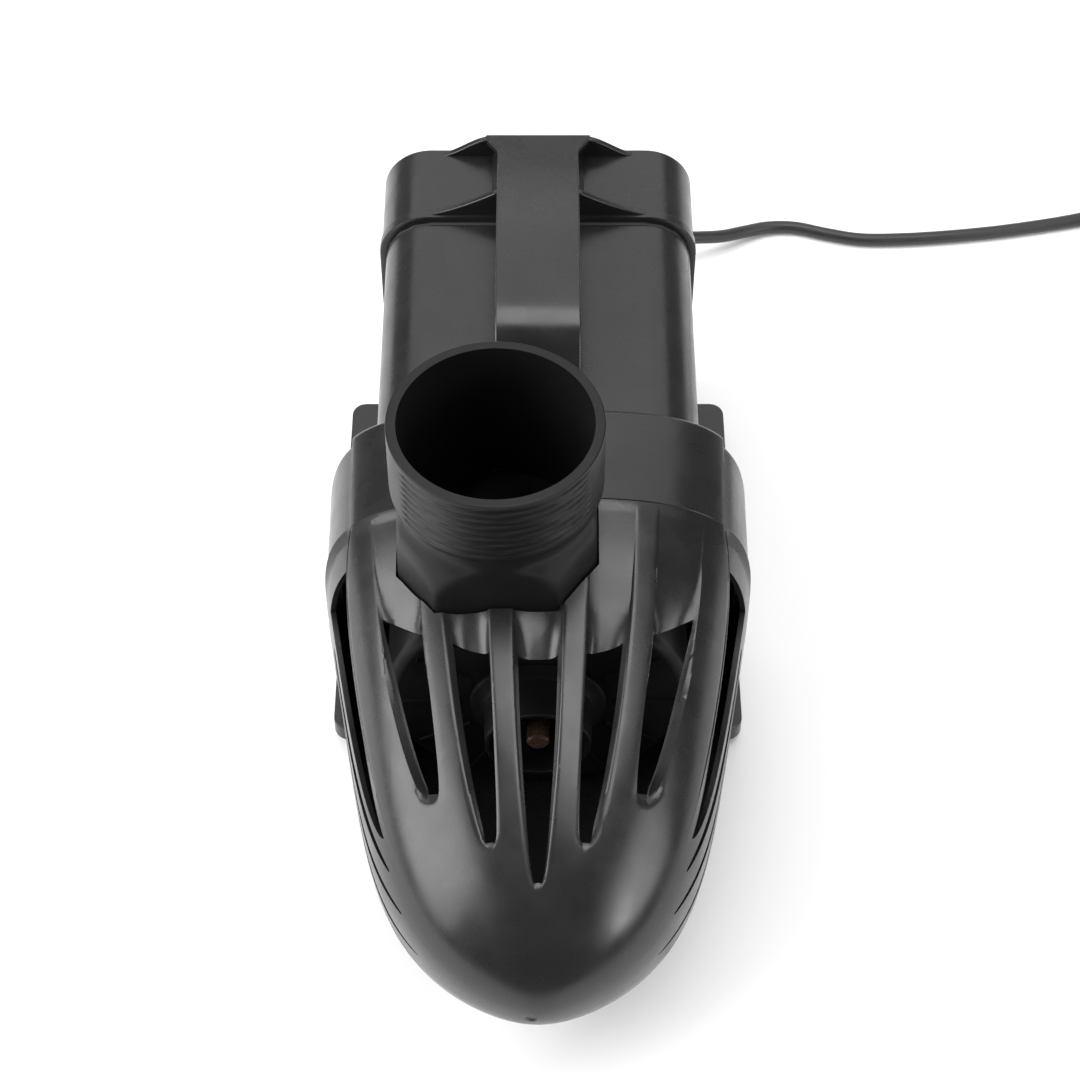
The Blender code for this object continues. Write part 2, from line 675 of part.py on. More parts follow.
def make_motor_housing(material):
    """The rounded square tube round the stator, with a front wall."""
    (half_w, half_h), z = HOUSING_HALF, HOUSING_Z
    front, rear = HOUSING_FRONT_Y, HOUSING_REAR_Y
    housing = box("motor_housing", (-half_w, front, z - half_h), (half_w, rear, z + half_h),
                  rounding=HOUSING_CORNER, segments=5)
    hollow = box("housing_hollow", (-half_w + WALL, front + 0.004, z - half_h + WALL),
                 (half_w - WALL, rear + 0.01, z + half_h - WALL),
                 rounding=HOUSING_CORNER - WALL, segments=5)
    can_hole = cylinder("can_hole", CAN_R + GAP, front - 0.01, front + 0.01, "Y",
                        (0.0, MOTOR_Z), 32)
    cut(housing, hollow, can_hole)
    bosses, holes = [], []
    for x, dz in mirrored(VOLUTE_SCREW[0], (-VOLUTE_SCREW[1], VOLUTE_SCREW[1])):
        bosses.append(cylinder("front_boss", 0.0060, front + 0.002, front + 0.018, "Y",
                               (x * 0.975, MOTOR_Z + dz), 12))
        holes.append(cylinder("front_boss_hole", 0.0028, front - 0.01, front + 0.0155, "Y",
                              (x, MOTOR_Z + dz), 12))
    for x, dz in mirrored(CAP_SCREW[0], (-CAP_SCREW[1], CAP_SCREW[1])):
        bosses.append(cylinder("rear_boss", 0.0080, rear - 0.030, rear - 0.0005, "Y",
                               (x, z + dz), 12))
        holes.append(cylinder("rear_boss_hole", 0.0028, rear - 0.027, rear + 0.01, "Y",
                              (x, z + dz), 12))
    x, y = HOUSING_BASE_SCREW
    for sx in (-1, 1):
        bosses.append(cylinder("housing_foot", 0.008, BASE_Z[1] + GAP, 0.030,
                               at=(sx * x, y), sides=16))
        holes.append(cylinder("housing_foot_hole", 0.0023, 0.010, 0.0265, at=(sx * x, y),
                              sides=12))
    join(housing, *bosses)
    cut(housing, *holes)
    return finish(housing, material)


# ------------------------------------------------- end cap with the handle
def strap_centreline():
    """Side view of the strap: (Y, Z) from the cap's rear to its foot."""
    return [(0.2085, 0.1700), (0.1950, 0.1732), (0.1700, 0.1780), (0.1400, 0.1818),
            (0.1100, 0.1830), (0.0880, 0.1828), (0.0790, 0.1812), (0.0725, 0.1775),
            (0.0650, 0.1700), (0.0600, 0.1655), (0.0540, 0.1632), (0.0460, 0.1628),
            (0.0235, 0.1628)]


def ribbon(points, thick):
    """A closed outline of even thickness round an open line."""
    upper, lower = [], []
    for i, (u, v) in enumerate(points):
        before, after = points[max(i - 1, 0)], points[min(i + 1, len(points) - 1)]
        du, dv = after[0] - before[0], after[1] - before[1]
        scale = thick / 2 / math.hypot(du, dv)
        upper.append((u + dv * scale, v - du * scale))
        lower.append((u - dv * scale, v + du * scale))
    return upper + lower[::-1]


def saddle_outline(reach, top, foot):
    """Front view of a fin that sweeps up from the cap to the strap's edge."""
    right = []
    steps = 5
    for i in range(steps + 1):
        t = i / steps
        x = reach + (STRAP_HALF_WIDTH - reach) * t
        right.append((x, foot + (top - foot) * t ** 1.8))
    base = foot - 0.0015
    return [(reach, base)] + right + [(-x, z) for x, z in right[::-1]] + [(-reach, base)]


def upright(y):
    """Placement whose local XY plane is the world XZ plane at a Y."""
    return Matrix.Translation((0.0, y, 0.0)) @ Matrix.Rotation(math.radians(90), 4, "X")


def side_view(x):
    """Placement whose local XY plane is the world YZ plane at an X."""
    return Matrix.Translation((x, 0.0, 0.0)) @ Matrix(
        ((0, 0, 1, 0), (1, 0, 0, 0), (0, 1, 0, 0), (0, 0, 0, 1)))


def make_rear_cap(material):
    """The cup that closes the motor, with fins and the strap handle on top."""
    (half_w, half_h), z = CAP_HALF, HOUSING_Z
    front, rear = CAP_FRONT_Y, CAP_REAR_Y
    cap = box("rear_cap", (-half_w, front, z - half_h), (half_w, rear, z + half_h),
              rounding=CAP_CORNER, segments=5)
    lip = box("cap_lip", (-half_w - 0.001, front + 0.0004, z - half_h - 0.001),
              (half_w + 0.001, front + 0.005, z + half_h + 0.001),
              rounding=CAP_CORNER + 0.001, segments=5)
    hollow = box("cap_hollow", (-half_w + WALL, front - 0.01, z - half_h + WALL),
                 (half_w - WALL, rear - 0.004, z + half_h - WALL),
                 rounding=CAP_CORNER - WALL, segments=5)
    top = z + half_h
    fins = [outline_solid("front_fin", saddle_outline(0.0475, top + 0.0150, top), 0.0035,
                          upright(front + 0.0035)),
            outline_solid("rear_fin", saddle_outline(0.0420, top + 0.0100, top), 0.0035,
                          upright(rear - 0.0055))]
    block = outline_solid("strap_block", [(front + 0.004, top - 0.001), (rear - 0.006, top - 0.001),
                                          (rear - 0.006, top + 0.0095),
                                          (front + 0.004, top + 0.0165)],
                          2 * STRAP_HALF_WIDTH - 0.001, side_view(0.0))
    strap = outline_solid("strap", ribbon(strap_centreline(), STRAP_THICK - 0.0004),
                          2 * STRAP_HALF_WIDTH, side_view(0.0))
    bosses, holes = [], []
    for x, dz in mirrored(CAP_SCREW[0], (-CAP_SCREW[1], CAP_SCREW[1])):
        bosses.append(cylinder("cap_boss", 0.0080, front + 0.0006, rear - 0.002, "Y",
                               (x, z + dz), 12))
        holes.append(cylinder("cap_screw_hole", 0.0028, front - 0.01, rear - 0.003, "Y",
                              (x, z + dz), 12))
        holes.append(cylinder("cap_screw_seat", 0.0058, rear - 0.006, rear + 0.01, "Y",
                              (x, z + dz), 16))
    hx, hy = HANDLE_SCREW
    holes += [cylinder("strap_screw_hole", 0.0022, 0.158, 0.170, at=(sx * hx, hy), sides=12)
              for sx in (-1, 1)]
    holes.append(cylinder("cord_hole", 0.0060, rear - 0.01, rear + 0.01, "Y", CORD_EXIT, 16))
    join(cap, lip)
    cut(cap, hollow)
    join(cap, block, *fins, strap, *bosses)
    cut(cap, *holes)
    return finish(cap, material)


def make_cap_gasket(material):
    """The flat seal between the housing and the end cap."""
    (half_w, half_h), z = HOUSING_HALF, HOUSING_Z
    low, high = HOUSING_REAR_Y + GAP, CAP_FRONT_Y - GAP
    gasket = box("cap_gasket", (-half_w + 0.0003, low, z - half_h + 0.0003),
                 (half_w - 0.0003, high, z + half_h - 0.0003), rounding=HOUSING_CORNER)
    inner = 0.0032
    hollow = box("gasket_hollow", (-half_w + inner, low - 0.01, z - half_h + inner),
                 (half_w - inner, high + 0.01, z + half_h - inner),
                 rounding=HOUSING_CORNER - inner)
    cut(gasket, hollow)
    return finish(gasket, material)


# ------------------------------------------------------ base plate and feet
def base_screw_places():
    """Centres of the screws that hold the base plate from below."""
    places = []
    for x, y in (SHROUD_BASE_SCREW, HOUSING_BASE_SCREW):
        places += mirrored(x, (y,))
    return places


def make_base_plate(material):
    """The flat foot of the pump, with counterbores and pad recesses below."""
    base = box("base_plate", (-BASE_HALF_WIDTH, BASE_Y[0], BASE_Z[0]),
               (BASE_HALF_WIDTH, BASE_Y[1], BASE_Z[1]), rounding=BASE_CORNER,
               edges="Z", segments=4)
    for x, y in base_screw_places():
        cut(base, cylinder("base_screw_hole", BASE_HOLE_R, 0.0, 0.02, at=(x, y), sides=12),
            cylinder("base_screw_seat", BASE_SEAT_R, 0.0, BASE_SEAT_Z, at=(x, y), sides=12))
    for x, y in foot_places():
        cut(base, cylinder("foot_recess", FOOT_R + GAP, 0.0, BASE_Z[0] + FOOT_RECESS,
                           at=(x, y), sides=20))
    return finish(base, material)


def foot_places():
    """Centres of the four rubber pads."""
    return mirrored(BASE_HALF_WIDTH - FOOT_INSET,
                    (BASE_Y[0] + FOOT_INSET, BASE_Y[1] - FOOT_INSET))


def make_feet(material):
    """Four rubber pads pressed into the base plate."""
    names = ("left_front", "left_rear", "right_front", "right_rear")
    for name, (x, y) in zip(names, foot_places()):
        top = BASE_Z[0] + FOOT_RECESS - GAP
        profile = [(0.0, top), (FOOT_R, top), (FOOT_R, 0.001), (FOOT_R - 0.001, 0.0), (0.0, 0.0)]
        pad = turned("foot_" + name, profile, Matrix.Translation((x, y, 0.0)), steps=20)
        finish(pad, material)


# ------------------------------------------------------------------- screws
def make_screw(name, matrix, size, material):
    """A pan-head screw; its origin is under the head and its shank runs down."""
    head_r, head_h, shank_r, shank_length = size
    profile = [(0.0, head_h), (head_r * 0.85, head_h), (head_r, 0.0), (shank_r, 0.0),
               (shank_r * 0.8, -shank_length), (0.0, -shank_length)]
    return finish(turned(name, profile, matrix, steps=10), material)


def make_screws(steel):
    """All the fasteners, each in its own node."""
    backward = Matrix.Rotation(math.radians(90), 4, "X")
    forward = Matrix.Rotation(math.radians(-90), 4, "X")
    downward = Matrix.Rotation(math.radians(180), 4, "X")
    x, dz = VOLUTE_SCREW
    for i, (px, pz) in enumerate(mirrored(x, (-dz, dz)), 1):
        seat = (px, STACK_Y - FLANGE_THICK - GAP, MOTOR_Z + pz)
        make_screw(f"volute_screw_{i}", Matrix.Translation(seat) @ backward,
                   VOLUTE_SCREW_SIZE, steel)
    x, dz = CAP_SCREW
    for i, (px, pz) in enumerate(mirrored(x, (-dz, dz)), 1):
        seat = (px, CAP_REAR_Y - CAP_SEAT_DEPTH + GAP, HOUSING_Z + pz)
        make_screw(f"cap_screw_{i}", Matrix.Translation(seat) @ forward,
                   CAP_SCREW_SIZE, steel)
    for i, (px, py) in enumerate(base_screw_places(), 1):
        seat = (px, py, BASE_SEAT_Z - GAP)
        make_screw(f"base_screw_{i}", Matrix.Translation(seat) @ downward,
                   BASE_SCREW_SIZE, steel)
    hx, hy = HANDLE_SCREW
    for i, sx in enumerate((-1, 1), 1):
        seat = (sx * hx, hy, BODY_AXIS_Z + HALF_HEIGHT + GAP)
        make_screw(f"handle_screw_{i}", Matrix.Translation(seat), HANDLE_SCREW_SIZE, steel)


# --------------------------------------------------------------- power cord
def smooth_line(points, step):
    """Evenly spaced points along a Catmull-Rom curve through the route."""
    route = [Vector(p) for p in points]
    route = [2 * route[0] - route[1]] + route + [2 * route[-1] - route[-2]]
    fine = []
    for a, b, c, d in zip(route, route[1:], route[2:], route[3:]):
        for k in range(20):
            t = k / 20
            fine.append(0.5 * (2 * b + (c - a) * t + (2 * a - 5 * b + 4 * c - d) * t ** 2
                               + (3 * b - a - 3 * c + d) * t ** 3))
    fine.append(route[-2])
    travelled = [0.0]
    for p, q in zip(fine, fine[1:]):
        travelled.append(travelled[-1] + (q - p).length)
    count = max(2, round(travelled[-1] / step))
    line, k = [], 0
    for i in range(count + 1):
        target = travelled[-1] * i / count
        while k < len(fine) - 2 and travelled[k + 1] < target:
            k += 1
        span = travelled[k + 1] - travelled[k]
        line.append(fine[k].lerp(fine[k + 1], (target - travelled[k]) / span))
    return line


def make_cord(rubber):
    """The cord's laid-out stretch as a tube, and its coil as a plain ring."""
    data = bpy.data.curves.new("power_cord", "CURVE")
    data.dimensions = "3D"
    data.bevel_depth = CORD_R
    data.bevel_resolution = 2
    data.use_fill_caps = True
    line = smooth_line(CORD_ROUTE, CORD_STEP)
    spline = data.splines.new("POLY")
    spline.points.add(len(line) - 1)
    for point, place in zip(spline.points, line):
        point.co = (*place, 1.0)
    finish(curve_to_mesh("power_cord", data, Matrix.Identity(4)), rubber, 60.0)
    inner, outer = COIL_R
    soft = 0.006
    profile = [(outer - soft, COIL_HEIGHT), (outer, COIL_HEIGHT - soft), (outer, soft),
               (outer - soft, 0.0), (inner + soft, 0.0), (inner, soft),
               (inner, COIL_HEIGHT - soft), (inner + soft, COIL_HEIGHT)]
    coil = turned("cord_coil", profile, Matrix.Translation((*COIL_CENTRE, 0.0)),
                  steps=32, closed=True)
    finish(coil, rubber)


def make_cord_entry(plastic, rubber):
    """Gland body, its nut and the tapered strain relief on the end cap."""
    x, z = CORD_EXIT
    start = CAP_REAR_Y + GAP
    gland = [(0.0115, start + 0.007), (0.0115, start), (0.0040, start), (0.0040, start + 0.007)]
    finish(turned_y("cord_gland", gland, x, z, steps=24, closed=True), plastic)
    nut_start = start + 0.007 + GAP
    nut = cylinder("gland_nut", 0.0125, nut_start, nut_start + 0.012, "Y", (x, z), 6)
    cut(nut, cylinder("gland_nut_bore", 0.0040, nut_start - 0.01, nut_start + 0.03, "Y", (x, z), 16))
    finish(nut, plastic)
    relief_start = nut_start + 0.012 + GAP
    relief_end = CORD_ROUTE[0][1] - 3 * GAP
    relief = [(0.0, relief_end), (0.0045, relief_end), (0.0075, relief_start + 0.004),
              (0.0075, relief_start), (0.0, relief_start)]
    finish(turned_y("strain_relief", relief, x, z, steps=24), rubber)


def make_plug(rubber, brass):
    """A moulded plug with two flat blades and a round earth pin."""
    nose, body_start, body_end = 0.243, 0.2245, 0.1830
    grip = [(0.0, nose), (0.0048, nose), (0.0075, body_start + GAP), (0.0, body_start + GAP)]
    finish(turned_y("plug_strain_relief", grip, PLUG_X, PLUG_Z, steps=24), rubber)
    body = box("plug_body", (PLUG_X - 0.0165, body_end, PLUG_Z - 0.0125),
               (PLUG_X + 0.0165, body_start, PLUG_Z + 0.0125), rounding=0.008, segments=4)
    finish(body, rubber)
    tip = body_end - 0.018
    for i, sx in enumerate((-1, 1), 1):
        x = PLUG_X + sx * 0.00635
        blade = box(f"plug_blade_{i}", (x - 0.00075, tip, PLUG_Z - 0.0008),
                    (x + 0.00075, body_end - GAP, PLUG_Z + 0.0056), rounding=0.0006, edges="X",
                    segments=2)
        finish(blade, brass)
    pin = cylinder("plug_earth_pin", 0.0024, tip - 0.002, body_end - GAP, "Y",
                   (PLUG_X, PLUG_Z - 0.0065), 16)
    finish(pin, brass)


def build_pump():
    """Make every part of the pump."""
    shell = make_material("shell_black", (0.018, 0.018, 0.019), 0.38)
    volute = make_material("volute_black", (0.020, 0.020, 0.021), 0.45)
    plate = make_material("plate_grey", (0.09, 0.09, 0.10), 0.5)
    rubber = make_material("seal_rubber", (0.012, 0.012, 0.012), 0.75)
    steel = make_material("screw_steel", (0.55, 0.55, 0.56), 0.3, 1.0)
    ceramic = make_material("shaft_ceramic", (0.55, 0.38, 0.24), 0.3)
    magnet = make_material("rotor_magnet", (0.05, 0.05, 0.055), 0.4, 0.4)
    iron = make_material("stator_iron", (0.28, 0.28, 0.29), 0.45, 0.9)
    copper = make_material("winding_copper", (0.55, 0.22, 0.08), 0.35, 0.9)
    brass = make_material("plug_brass", (0.72, 0.52, 0.22), 0.3, 1.0)

    make_front_cage(shell)
    make_rear_shroud(shell)
    make_volute_casing(volute)
    make_suction_ring(volute)
    make_bearing_plate(plate)
    make_seal("volute_o_ring", 0.06535, STACK_Y - 0.0009, 0.0011, rubber)
    make_seal("can_o_ring", 0.050, STACK_Y + GAP + PLATE_THICK + 0.0016, 0.0012, rubber)
    make_rotor_parts(steel, ceramic, magnet, volute)
    make_bushes(ceramic, rubber)
    make_rotor_can(plate)
    make_stator(iron, copper, plate)
    make_motor_housing(shell)
    make_rear_cap(shell)
    make_cap_gasket(rubber)
    make_base_plate(shell)
    make_feet(rubber)
    make_screws(steel)
    make_cord_entry(shell, rubber)
    make_cord(rubber)
    make_plug(rubber, brass)
    bpy.context.view_layer.update()


build_pump()
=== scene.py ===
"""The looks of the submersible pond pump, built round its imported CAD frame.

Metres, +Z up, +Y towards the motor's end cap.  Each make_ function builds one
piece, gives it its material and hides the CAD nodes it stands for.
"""
import json
import math

import bmesh
import bpy
from mathutils import Matrix, Vector


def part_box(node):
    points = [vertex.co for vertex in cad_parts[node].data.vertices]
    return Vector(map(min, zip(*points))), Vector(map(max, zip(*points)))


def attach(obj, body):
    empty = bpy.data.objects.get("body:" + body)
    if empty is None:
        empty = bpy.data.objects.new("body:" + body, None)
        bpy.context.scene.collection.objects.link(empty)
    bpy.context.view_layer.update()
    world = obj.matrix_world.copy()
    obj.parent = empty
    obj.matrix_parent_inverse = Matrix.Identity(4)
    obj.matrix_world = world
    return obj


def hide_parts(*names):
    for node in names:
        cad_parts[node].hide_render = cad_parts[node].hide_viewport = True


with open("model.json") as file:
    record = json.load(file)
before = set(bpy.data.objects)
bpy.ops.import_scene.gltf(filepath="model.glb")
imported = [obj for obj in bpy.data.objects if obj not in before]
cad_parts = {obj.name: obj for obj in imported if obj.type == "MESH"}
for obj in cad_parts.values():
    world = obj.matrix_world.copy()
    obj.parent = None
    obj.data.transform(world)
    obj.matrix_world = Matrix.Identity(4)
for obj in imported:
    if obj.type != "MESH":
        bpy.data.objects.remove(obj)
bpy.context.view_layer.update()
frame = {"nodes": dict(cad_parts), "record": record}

# ------------------------------------------------- sizes read from the frame
MM = 0.001
PUMP, ROTOR, CAGE = "pump_body", "rotating_group", "strainer_cage"
cage_low, cage_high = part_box("front_cage")
shroud_low, shroud_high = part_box("rear_shroud")
housing_low, housing_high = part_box("motor_housing")
cap_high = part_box("rear_cap")[1]
volute_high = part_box("volute_casing")[1]
base_low, base_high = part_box("base_plate")
shaft_low, shaft_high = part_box("rotor_shaft")
gland_low, gland_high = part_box("cord_gland")

SEAM_Y = shroud_low.y                       # parting face of cage and shroud
NOSE_Y = cage_low.y
BODY_Z = (cage_low.z + cage_high.z) / 2     # middle height of the body
HALF_WIDTH = cage_high.x
HALF_HEIGHT = (cage_high.z - cage_low.z) / 2
SHROUD_REAR_Y = shroud_high.y
SHROUD_HALF_WIDTH = shroud_high.x
MOTOR_Z = (shaft_low.z + shaft_high.z) / 2
MOTOR_AXIS = (0.0, 0.0, MOTOR_Z)
RIM_Z = volute_high.z                       # top of the threaded outlet
STACK_Y = volute_high.y                     # rear face of the volute

# ------------------------------------------ sizes shared with the CAD source
GAP = 0.3 * MM
NOSE_Z = 86.3 * MM
OUTLET_X, OUTLET_Y = -17.0 * MM, -21.5 * MM
OUTLET_R, OUTLET_BORE_R, NECK_R = 44.45 * MM, 39.5 * MM, 41.7 * MM
DUCT_HALF, DUCT_CHAMFER = 41.5 * MM, (16.0 * MM, 21.0 * MM)     # along X and Y
DUCT_BOTTOM_Z, NECK_Z, THREAD_BOTTOM_Z = 120 * MM, 188 * MM, 195 * MM
DRUM_R, DRUM_FRONT_Y = 66 * MM, -59.5 * MM
DRUM_RIBS = 12
VOLUTE_WALL = 4 * MM
FLANGE_HALF, FLANGE_CORNER = (79 * MM, 60 * MM), 20 * MM
SUCTION_R, SUCTION_FRONT_Y = 20.5 * MM, -83.6 * MM
ROTOR_BORE_R = 5.3 * MM                     # of what sits on the shaft
HOUSING_HALF = (71.8 * MM, 70 * MM)
HOUSING_Z = 90 * MM
HOUSING_CORNER = 22 * MM
CAP_HALF = (74 * MM, 71.5 * MM)
CAP_CORNER = 23 * MM
CAP_FRONT_Y = cap_high.y - 49.5 * MM
STRAP_HALF_WIDTH = 19 * MM
CORD_R = 3.5 * MM
COIL_CENTRE = (385 * MM, 278.5 * MM)
PLUG_X, PLUG_Z = 441 * MM, 12.5 * MM
VOLUTE_SCREW = (67.5 * MM, 46 * MM)         # X, and height off the motor axis
CAP_SCREW = (58.5 * MM, 58 * MM)
BASE_SCREW_X, BASE_SCREW_ROWS = 45 * MM, (12 * MM, 138 * MM)
WELD = 0.004 * MM                           # points nearer than this are one


# -------------------------------------------------------------- mesh helpers
def add_object(name, mesh, matrix=None):
    """Link a mesh to the scene as an object."""
    obj = bpy.data.objects.new(name, mesh)
    bpy.context.scene.collection.objects.link(obj)
    if matrix is not None:
        obj.matrix_world = matrix
    return obj


def mesh_from(name, build, closed=True):
    """Run build on an empty BMesh and, if it is closed, turn its faces out."""
    bm = bmesh.new()
    build(bm)
    if closed:
        bmesh.ops.recalc_face_normals(bm, faces=bm.faces)
    mesh = bpy.data.meshes.new(name)
    bm.to_mesh(mesh)
    bm.free()
    return mesh


def smooth_step(low, high, value):
    """0 below low, 1 above high and an even S between; low may be the higher."""
    t = min(max((value - low) / (high - low), 0.0), 1.0)
    return t * t * (3 - 2 * t)


def bridge(bm, first, second):
    """Quads between two closed rows of vertices; a row of one vertex is a pole."""
    count = max(len(first), len(second))
    for i in range(count):
        j = (i + 1) % count
        if len(first) == 1:
            bm.faces.new((first[0], second[i], second[j]))
        elif len(second) == 1:
            bm.faces.new((first[i], first[j], second[0]))
        else:
            bm.faces.new((first[i], first[j], second[j], second[i]))


def loft(name, rings, loop=False):
    """A skin through rings: closed end to end, or with flat or pole ends."""
    def build(bm):
        rows = [[bm.verts.new(p) for p in ring] for ring in rings]
        for first, second in zip(rows[:-1], rows[1:]):
            bridge(bm, first, second)
        if loop:
            bridge(bm, rows[-1], rows[0])
            return
        for end in (rows[0], rows[-1]):
            if len(end) > 2:
                bm.faces.new(end)
    return add_object(name, mesh_from(name, build))


def turned(name, profile, centre, axis="Y", steps=64, loop=False):
    """A profile of (radius, height) turned about an axis through centre.

    Heights are places along the axis.  A radius of 0 is a pole.
    """
    cx, cy, cz = centre
    rings = []
    for radius, height in profile:
        ring = []
        for i in range(1 if radius == 0.0 else steps):
            a = 2 * math.pi * i / steps
            u, v = radius * math.cos(a), radius * math.sin(a)
            ring.append((cx + u, height, cz + v) if axis == "Y" else (cx + u, cy + v, height))
        rings.append(ring)
    return loft(name, rings, loop)


def rounded_rect(y, half_w, half_h, centre_z, corner, segments=12):
    """A ring in the XZ plane: a rectangle with round corners."""
    ring = []
    for sx, sz, start in ((1, 1, 0), (-1, 1, 90), (-1, -1, 180), (1, -1, 270)):
        for i in range(segments + 1):
            a = math.radians(start + 90 * i / segments)
            ring.append((sx * (half_w - corner) + corner * math.cos(a), y,
                         centre_z + sz * (half_h - corner) + corner * math.sin(a)))
    return ring


def extruded(name, outline, depth, matrix):
    """A flat outline, in local XY, given depth to both sides of its plane."""
    def build(bm):
        near = [bm.verts.new((u, v, -depth / 2)) for u, v in outline]
        far = [bm.verts.new((u, v, depth / 2)) for u, v in outline]
        bridge(bm, near, far)
        bm.faces.new(near)
        bm.faces.new(far)
    return add_object(name, mesh_from(name, build), matrix)


def box(name, low, high):
    """A plain box between two corners, to be bevelled or used as a cutter."""
    def build(bm):
        bmesh.ops.create_cube(bm, size=1.0)
        bmesh.ops.scale(bm, vec=[b - a for a, b in zip(low, high)], verts=bm.verts)
        middle = [(a + b) / 2 for a, b in zip(low, high)]
        bmesh.ops.translate(bm, vec=middle, verts=bm.verts)
    return add_object(name, mesh_from(name, build))


def cylinder(name, radius, start, end, centre, axis="Y", steps=32):
    """A plain cylinder, used as a cutter or a boss."""
    profile = [(0.0, start), (radius, start), (radius, end), (0.0, end)]
    return turned(name, profile, centre, axis, steps)


def soften(obj, width, angle=40.0, segments=3):
    """Round every edge that turns more than the angle."""
    bevel = obj.modifiers.new("soften", "BEVEL")
    bevel.width = width
    bevel.segments = segments
    bevel.limit_method = "ANGLE"
    bevel.angle_limit = math.radians(angle)
    return obj


def apply_modifiers(obj):
    """Replace an object's mesh by what its modifiers make of it."""
    bpy.context.view_layer.update()
    graph = bpy.context.evaluated_depsgraph_get()
    mesh = bpy.data.meshes.new_from_object(obj.evaluated_get(graph))
    obj.modifiers.clear()
    obj.data = mesh
    return obj


def combine(target, others, operation):
    """Exact Booleans of the target with each other object, which then goes."""
    for other in others:
        apply_modifiers(other)
        modifier = target.modifiers.new(operation.lower(), "BOOLEAN")
        modifier.operation = operation
        modifier.solver = "EXACT"
        modifier.object = other
    apply_modifiers(target)
    bm = bmesh.new()
    bm.from_mesh(target.data)
    bmesh.ops.remove_doubles(bm, verts=bm.verts, dist=WELD)
    bmesh.ops.dissolve_degenerate(bm, edges=bm.edges, dist=WELD)
    bm.to_mesh(target.data)
    bm.free()
    for other in others:
        bpy.data.objects.remove(other, do_unlink=True)
    return target


def merged(name, objects):
    """One object that holds the meshes of several, in world space."""
    bm = bmesh.new()
    for obj in objects:
        apply_modifiers(obj)
        obj.data.transform(obj.matrix_world)
        bm.from_mesh(obj.data)
        bpy.data.objects.remove(obj, do_unlink=True)
    mesh = bpy.data.meshes.new(name)
    bm.to_mesh(mesh)
    bm.free()
    return add_object(name, mesh)


def piece(obj, slot, body, *nodes, angle=32.0):
    """Finish a piece: final mesh, shading, its slot's material, its body, and hide the CAD nodes it
    replaces.
    """
    apply_modifiers(obj)
    obj.data.materials.clear()
    obj.data.materials.append(FINISH[slot])
    obj.data.shade_smooth()
    obj.data.set_sharp_from_angle(angle=math.radians(angle))
    normals = obj.modifiers.new("normals", "WEIGHTED_NORMAL")
    normals.keep_sharp = True
    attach(obj, body)
    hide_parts(*nodes)
    return obj


def upright(y):
    """Placement whose local XY plane is the world XZ plane at a Y."""
    return Matrix.Translation((0.0, y, 0.0)) @ Matrix.Rotation(math.radians(90), 4, "X")


def mirrored(point, angles):
    """A closed ring: point(angle, side) down the right half and up the left."""
    return ([point(a, 1) for a in angles] + [point(180.0, 1)]
            + [point(a, -1) for a in reversed(angles[1:])])


def four_places(x, dz):
    """Left and right, low and high, in the order of the CAD's numbers."""
    return [(sx * x, sz * dz) for sx in (-1, 1) for sz in (-1, 1)]


# ----------------------------------------------------------------- materials
def start_material(name, metallic=0.0, coat=0.0, sheen=0.0):
    """A Principled material and the nodes that every finish here needs."""
    material = bpy.data.materials.new(name)
    material.use_nodes = True
    tree = material.node_tree
    shader = tree.nodes["Principled BSDF"]
    shader.inputs["Metallic"].default_value = metallic
    shader.inputs["Coat Weight"].default_value = coat
    shader.inputs["Sheen Weight"].default_value = sheen
    place = tree.nodes.new("ShaderNodeTexCoord")
    return material, tree, shader, place.outputs["Object"]


def noise(tree, place, scale, detail=3.0, stretch=(1.0, 1.0, 1.0)):
    """The value of a noise texture; scale is cells per metre."""
    mapping = tree.nodes.new("ShaderNodeMapping")
    mapping.inputs["Scale"].default_value = stretch
    tree.links.new(place, mapping.inputs["Vector"])
    texture = tree.nodes.new("ShaderNodeTexNoise")
    texture.inputs["Scale"].default_value = scale
    texture.inputs["Detail"].default_value = detail
    tree.links.new(mapping.outputs["Vector"], texture.inputs["Vector"])
    return texture.outputs["Fac"]


def bands(tree, place, axis, scale, distortion=0.0):
    """The value of a banded wave along one axis."""
    texture = tree.nodes.new("ShaderNodeTexWave")
    texture.bands_direction = axis
    texture.inputs["Scale"].default_value = scale
    texture.inputs["Distortion"].default_value = distortion
    tree.links.new(place, texture.inputs["Vector"])
    return texture.outputs["Fac"]


def tint(tree, shader, value, first, second):
    """Base colour that goes from first to second as the value goes 0.3 to 0.7."""
    ramp = tree.nodes.new("ShaderNodeValToRGB")
    ramp.color_ramp.elements[0].position = 0.3
    ramp.color_ramp.elements[1].position = 0.7
    ramp.color_ramp.elements[0].color = (*first, 1.0)
    ramp.color_ramp.elements[1].color = (*second, 1.0)
    tree.links.new(value, ramp.inputs["Fac"])
    tree.links.new(ramp.outputs["Color"], shader.inputs["Base Color"])


def vary_roughness(tree, shader, value, low, high):
    """Roughness between low and high, following a value."""
    scale = tree.nodes.new("ShaderNodeMapRange")
    scale.inputs["From Min"].default_value = 0.3
    scale.inputs["From Max"].default_value = 0.7
    scale.inputs["To Min"].default_value = low
    scale.inputs["To Max"].default_value = high
    tree.links.new(value, scale.inputs["Value"])
    tree.links.new(scale.outputs["Result"], shader.inputs["Roughness"])


def emboss(tree, shader, value, distance, strength=1.0):
    """Surface relief from a value; distance is its height in metres."""
    bump = tree.nodes.new("ShaderNodeBump")
    bump.inputs["Distance"].default_value = distance
    bump.inputs["Strength"].default_value = strength
    tree.links.new(value, bump.inputs["Height"])
    tree.links.new(bump.outputs["Normal"], shader.inputs["Normal"])


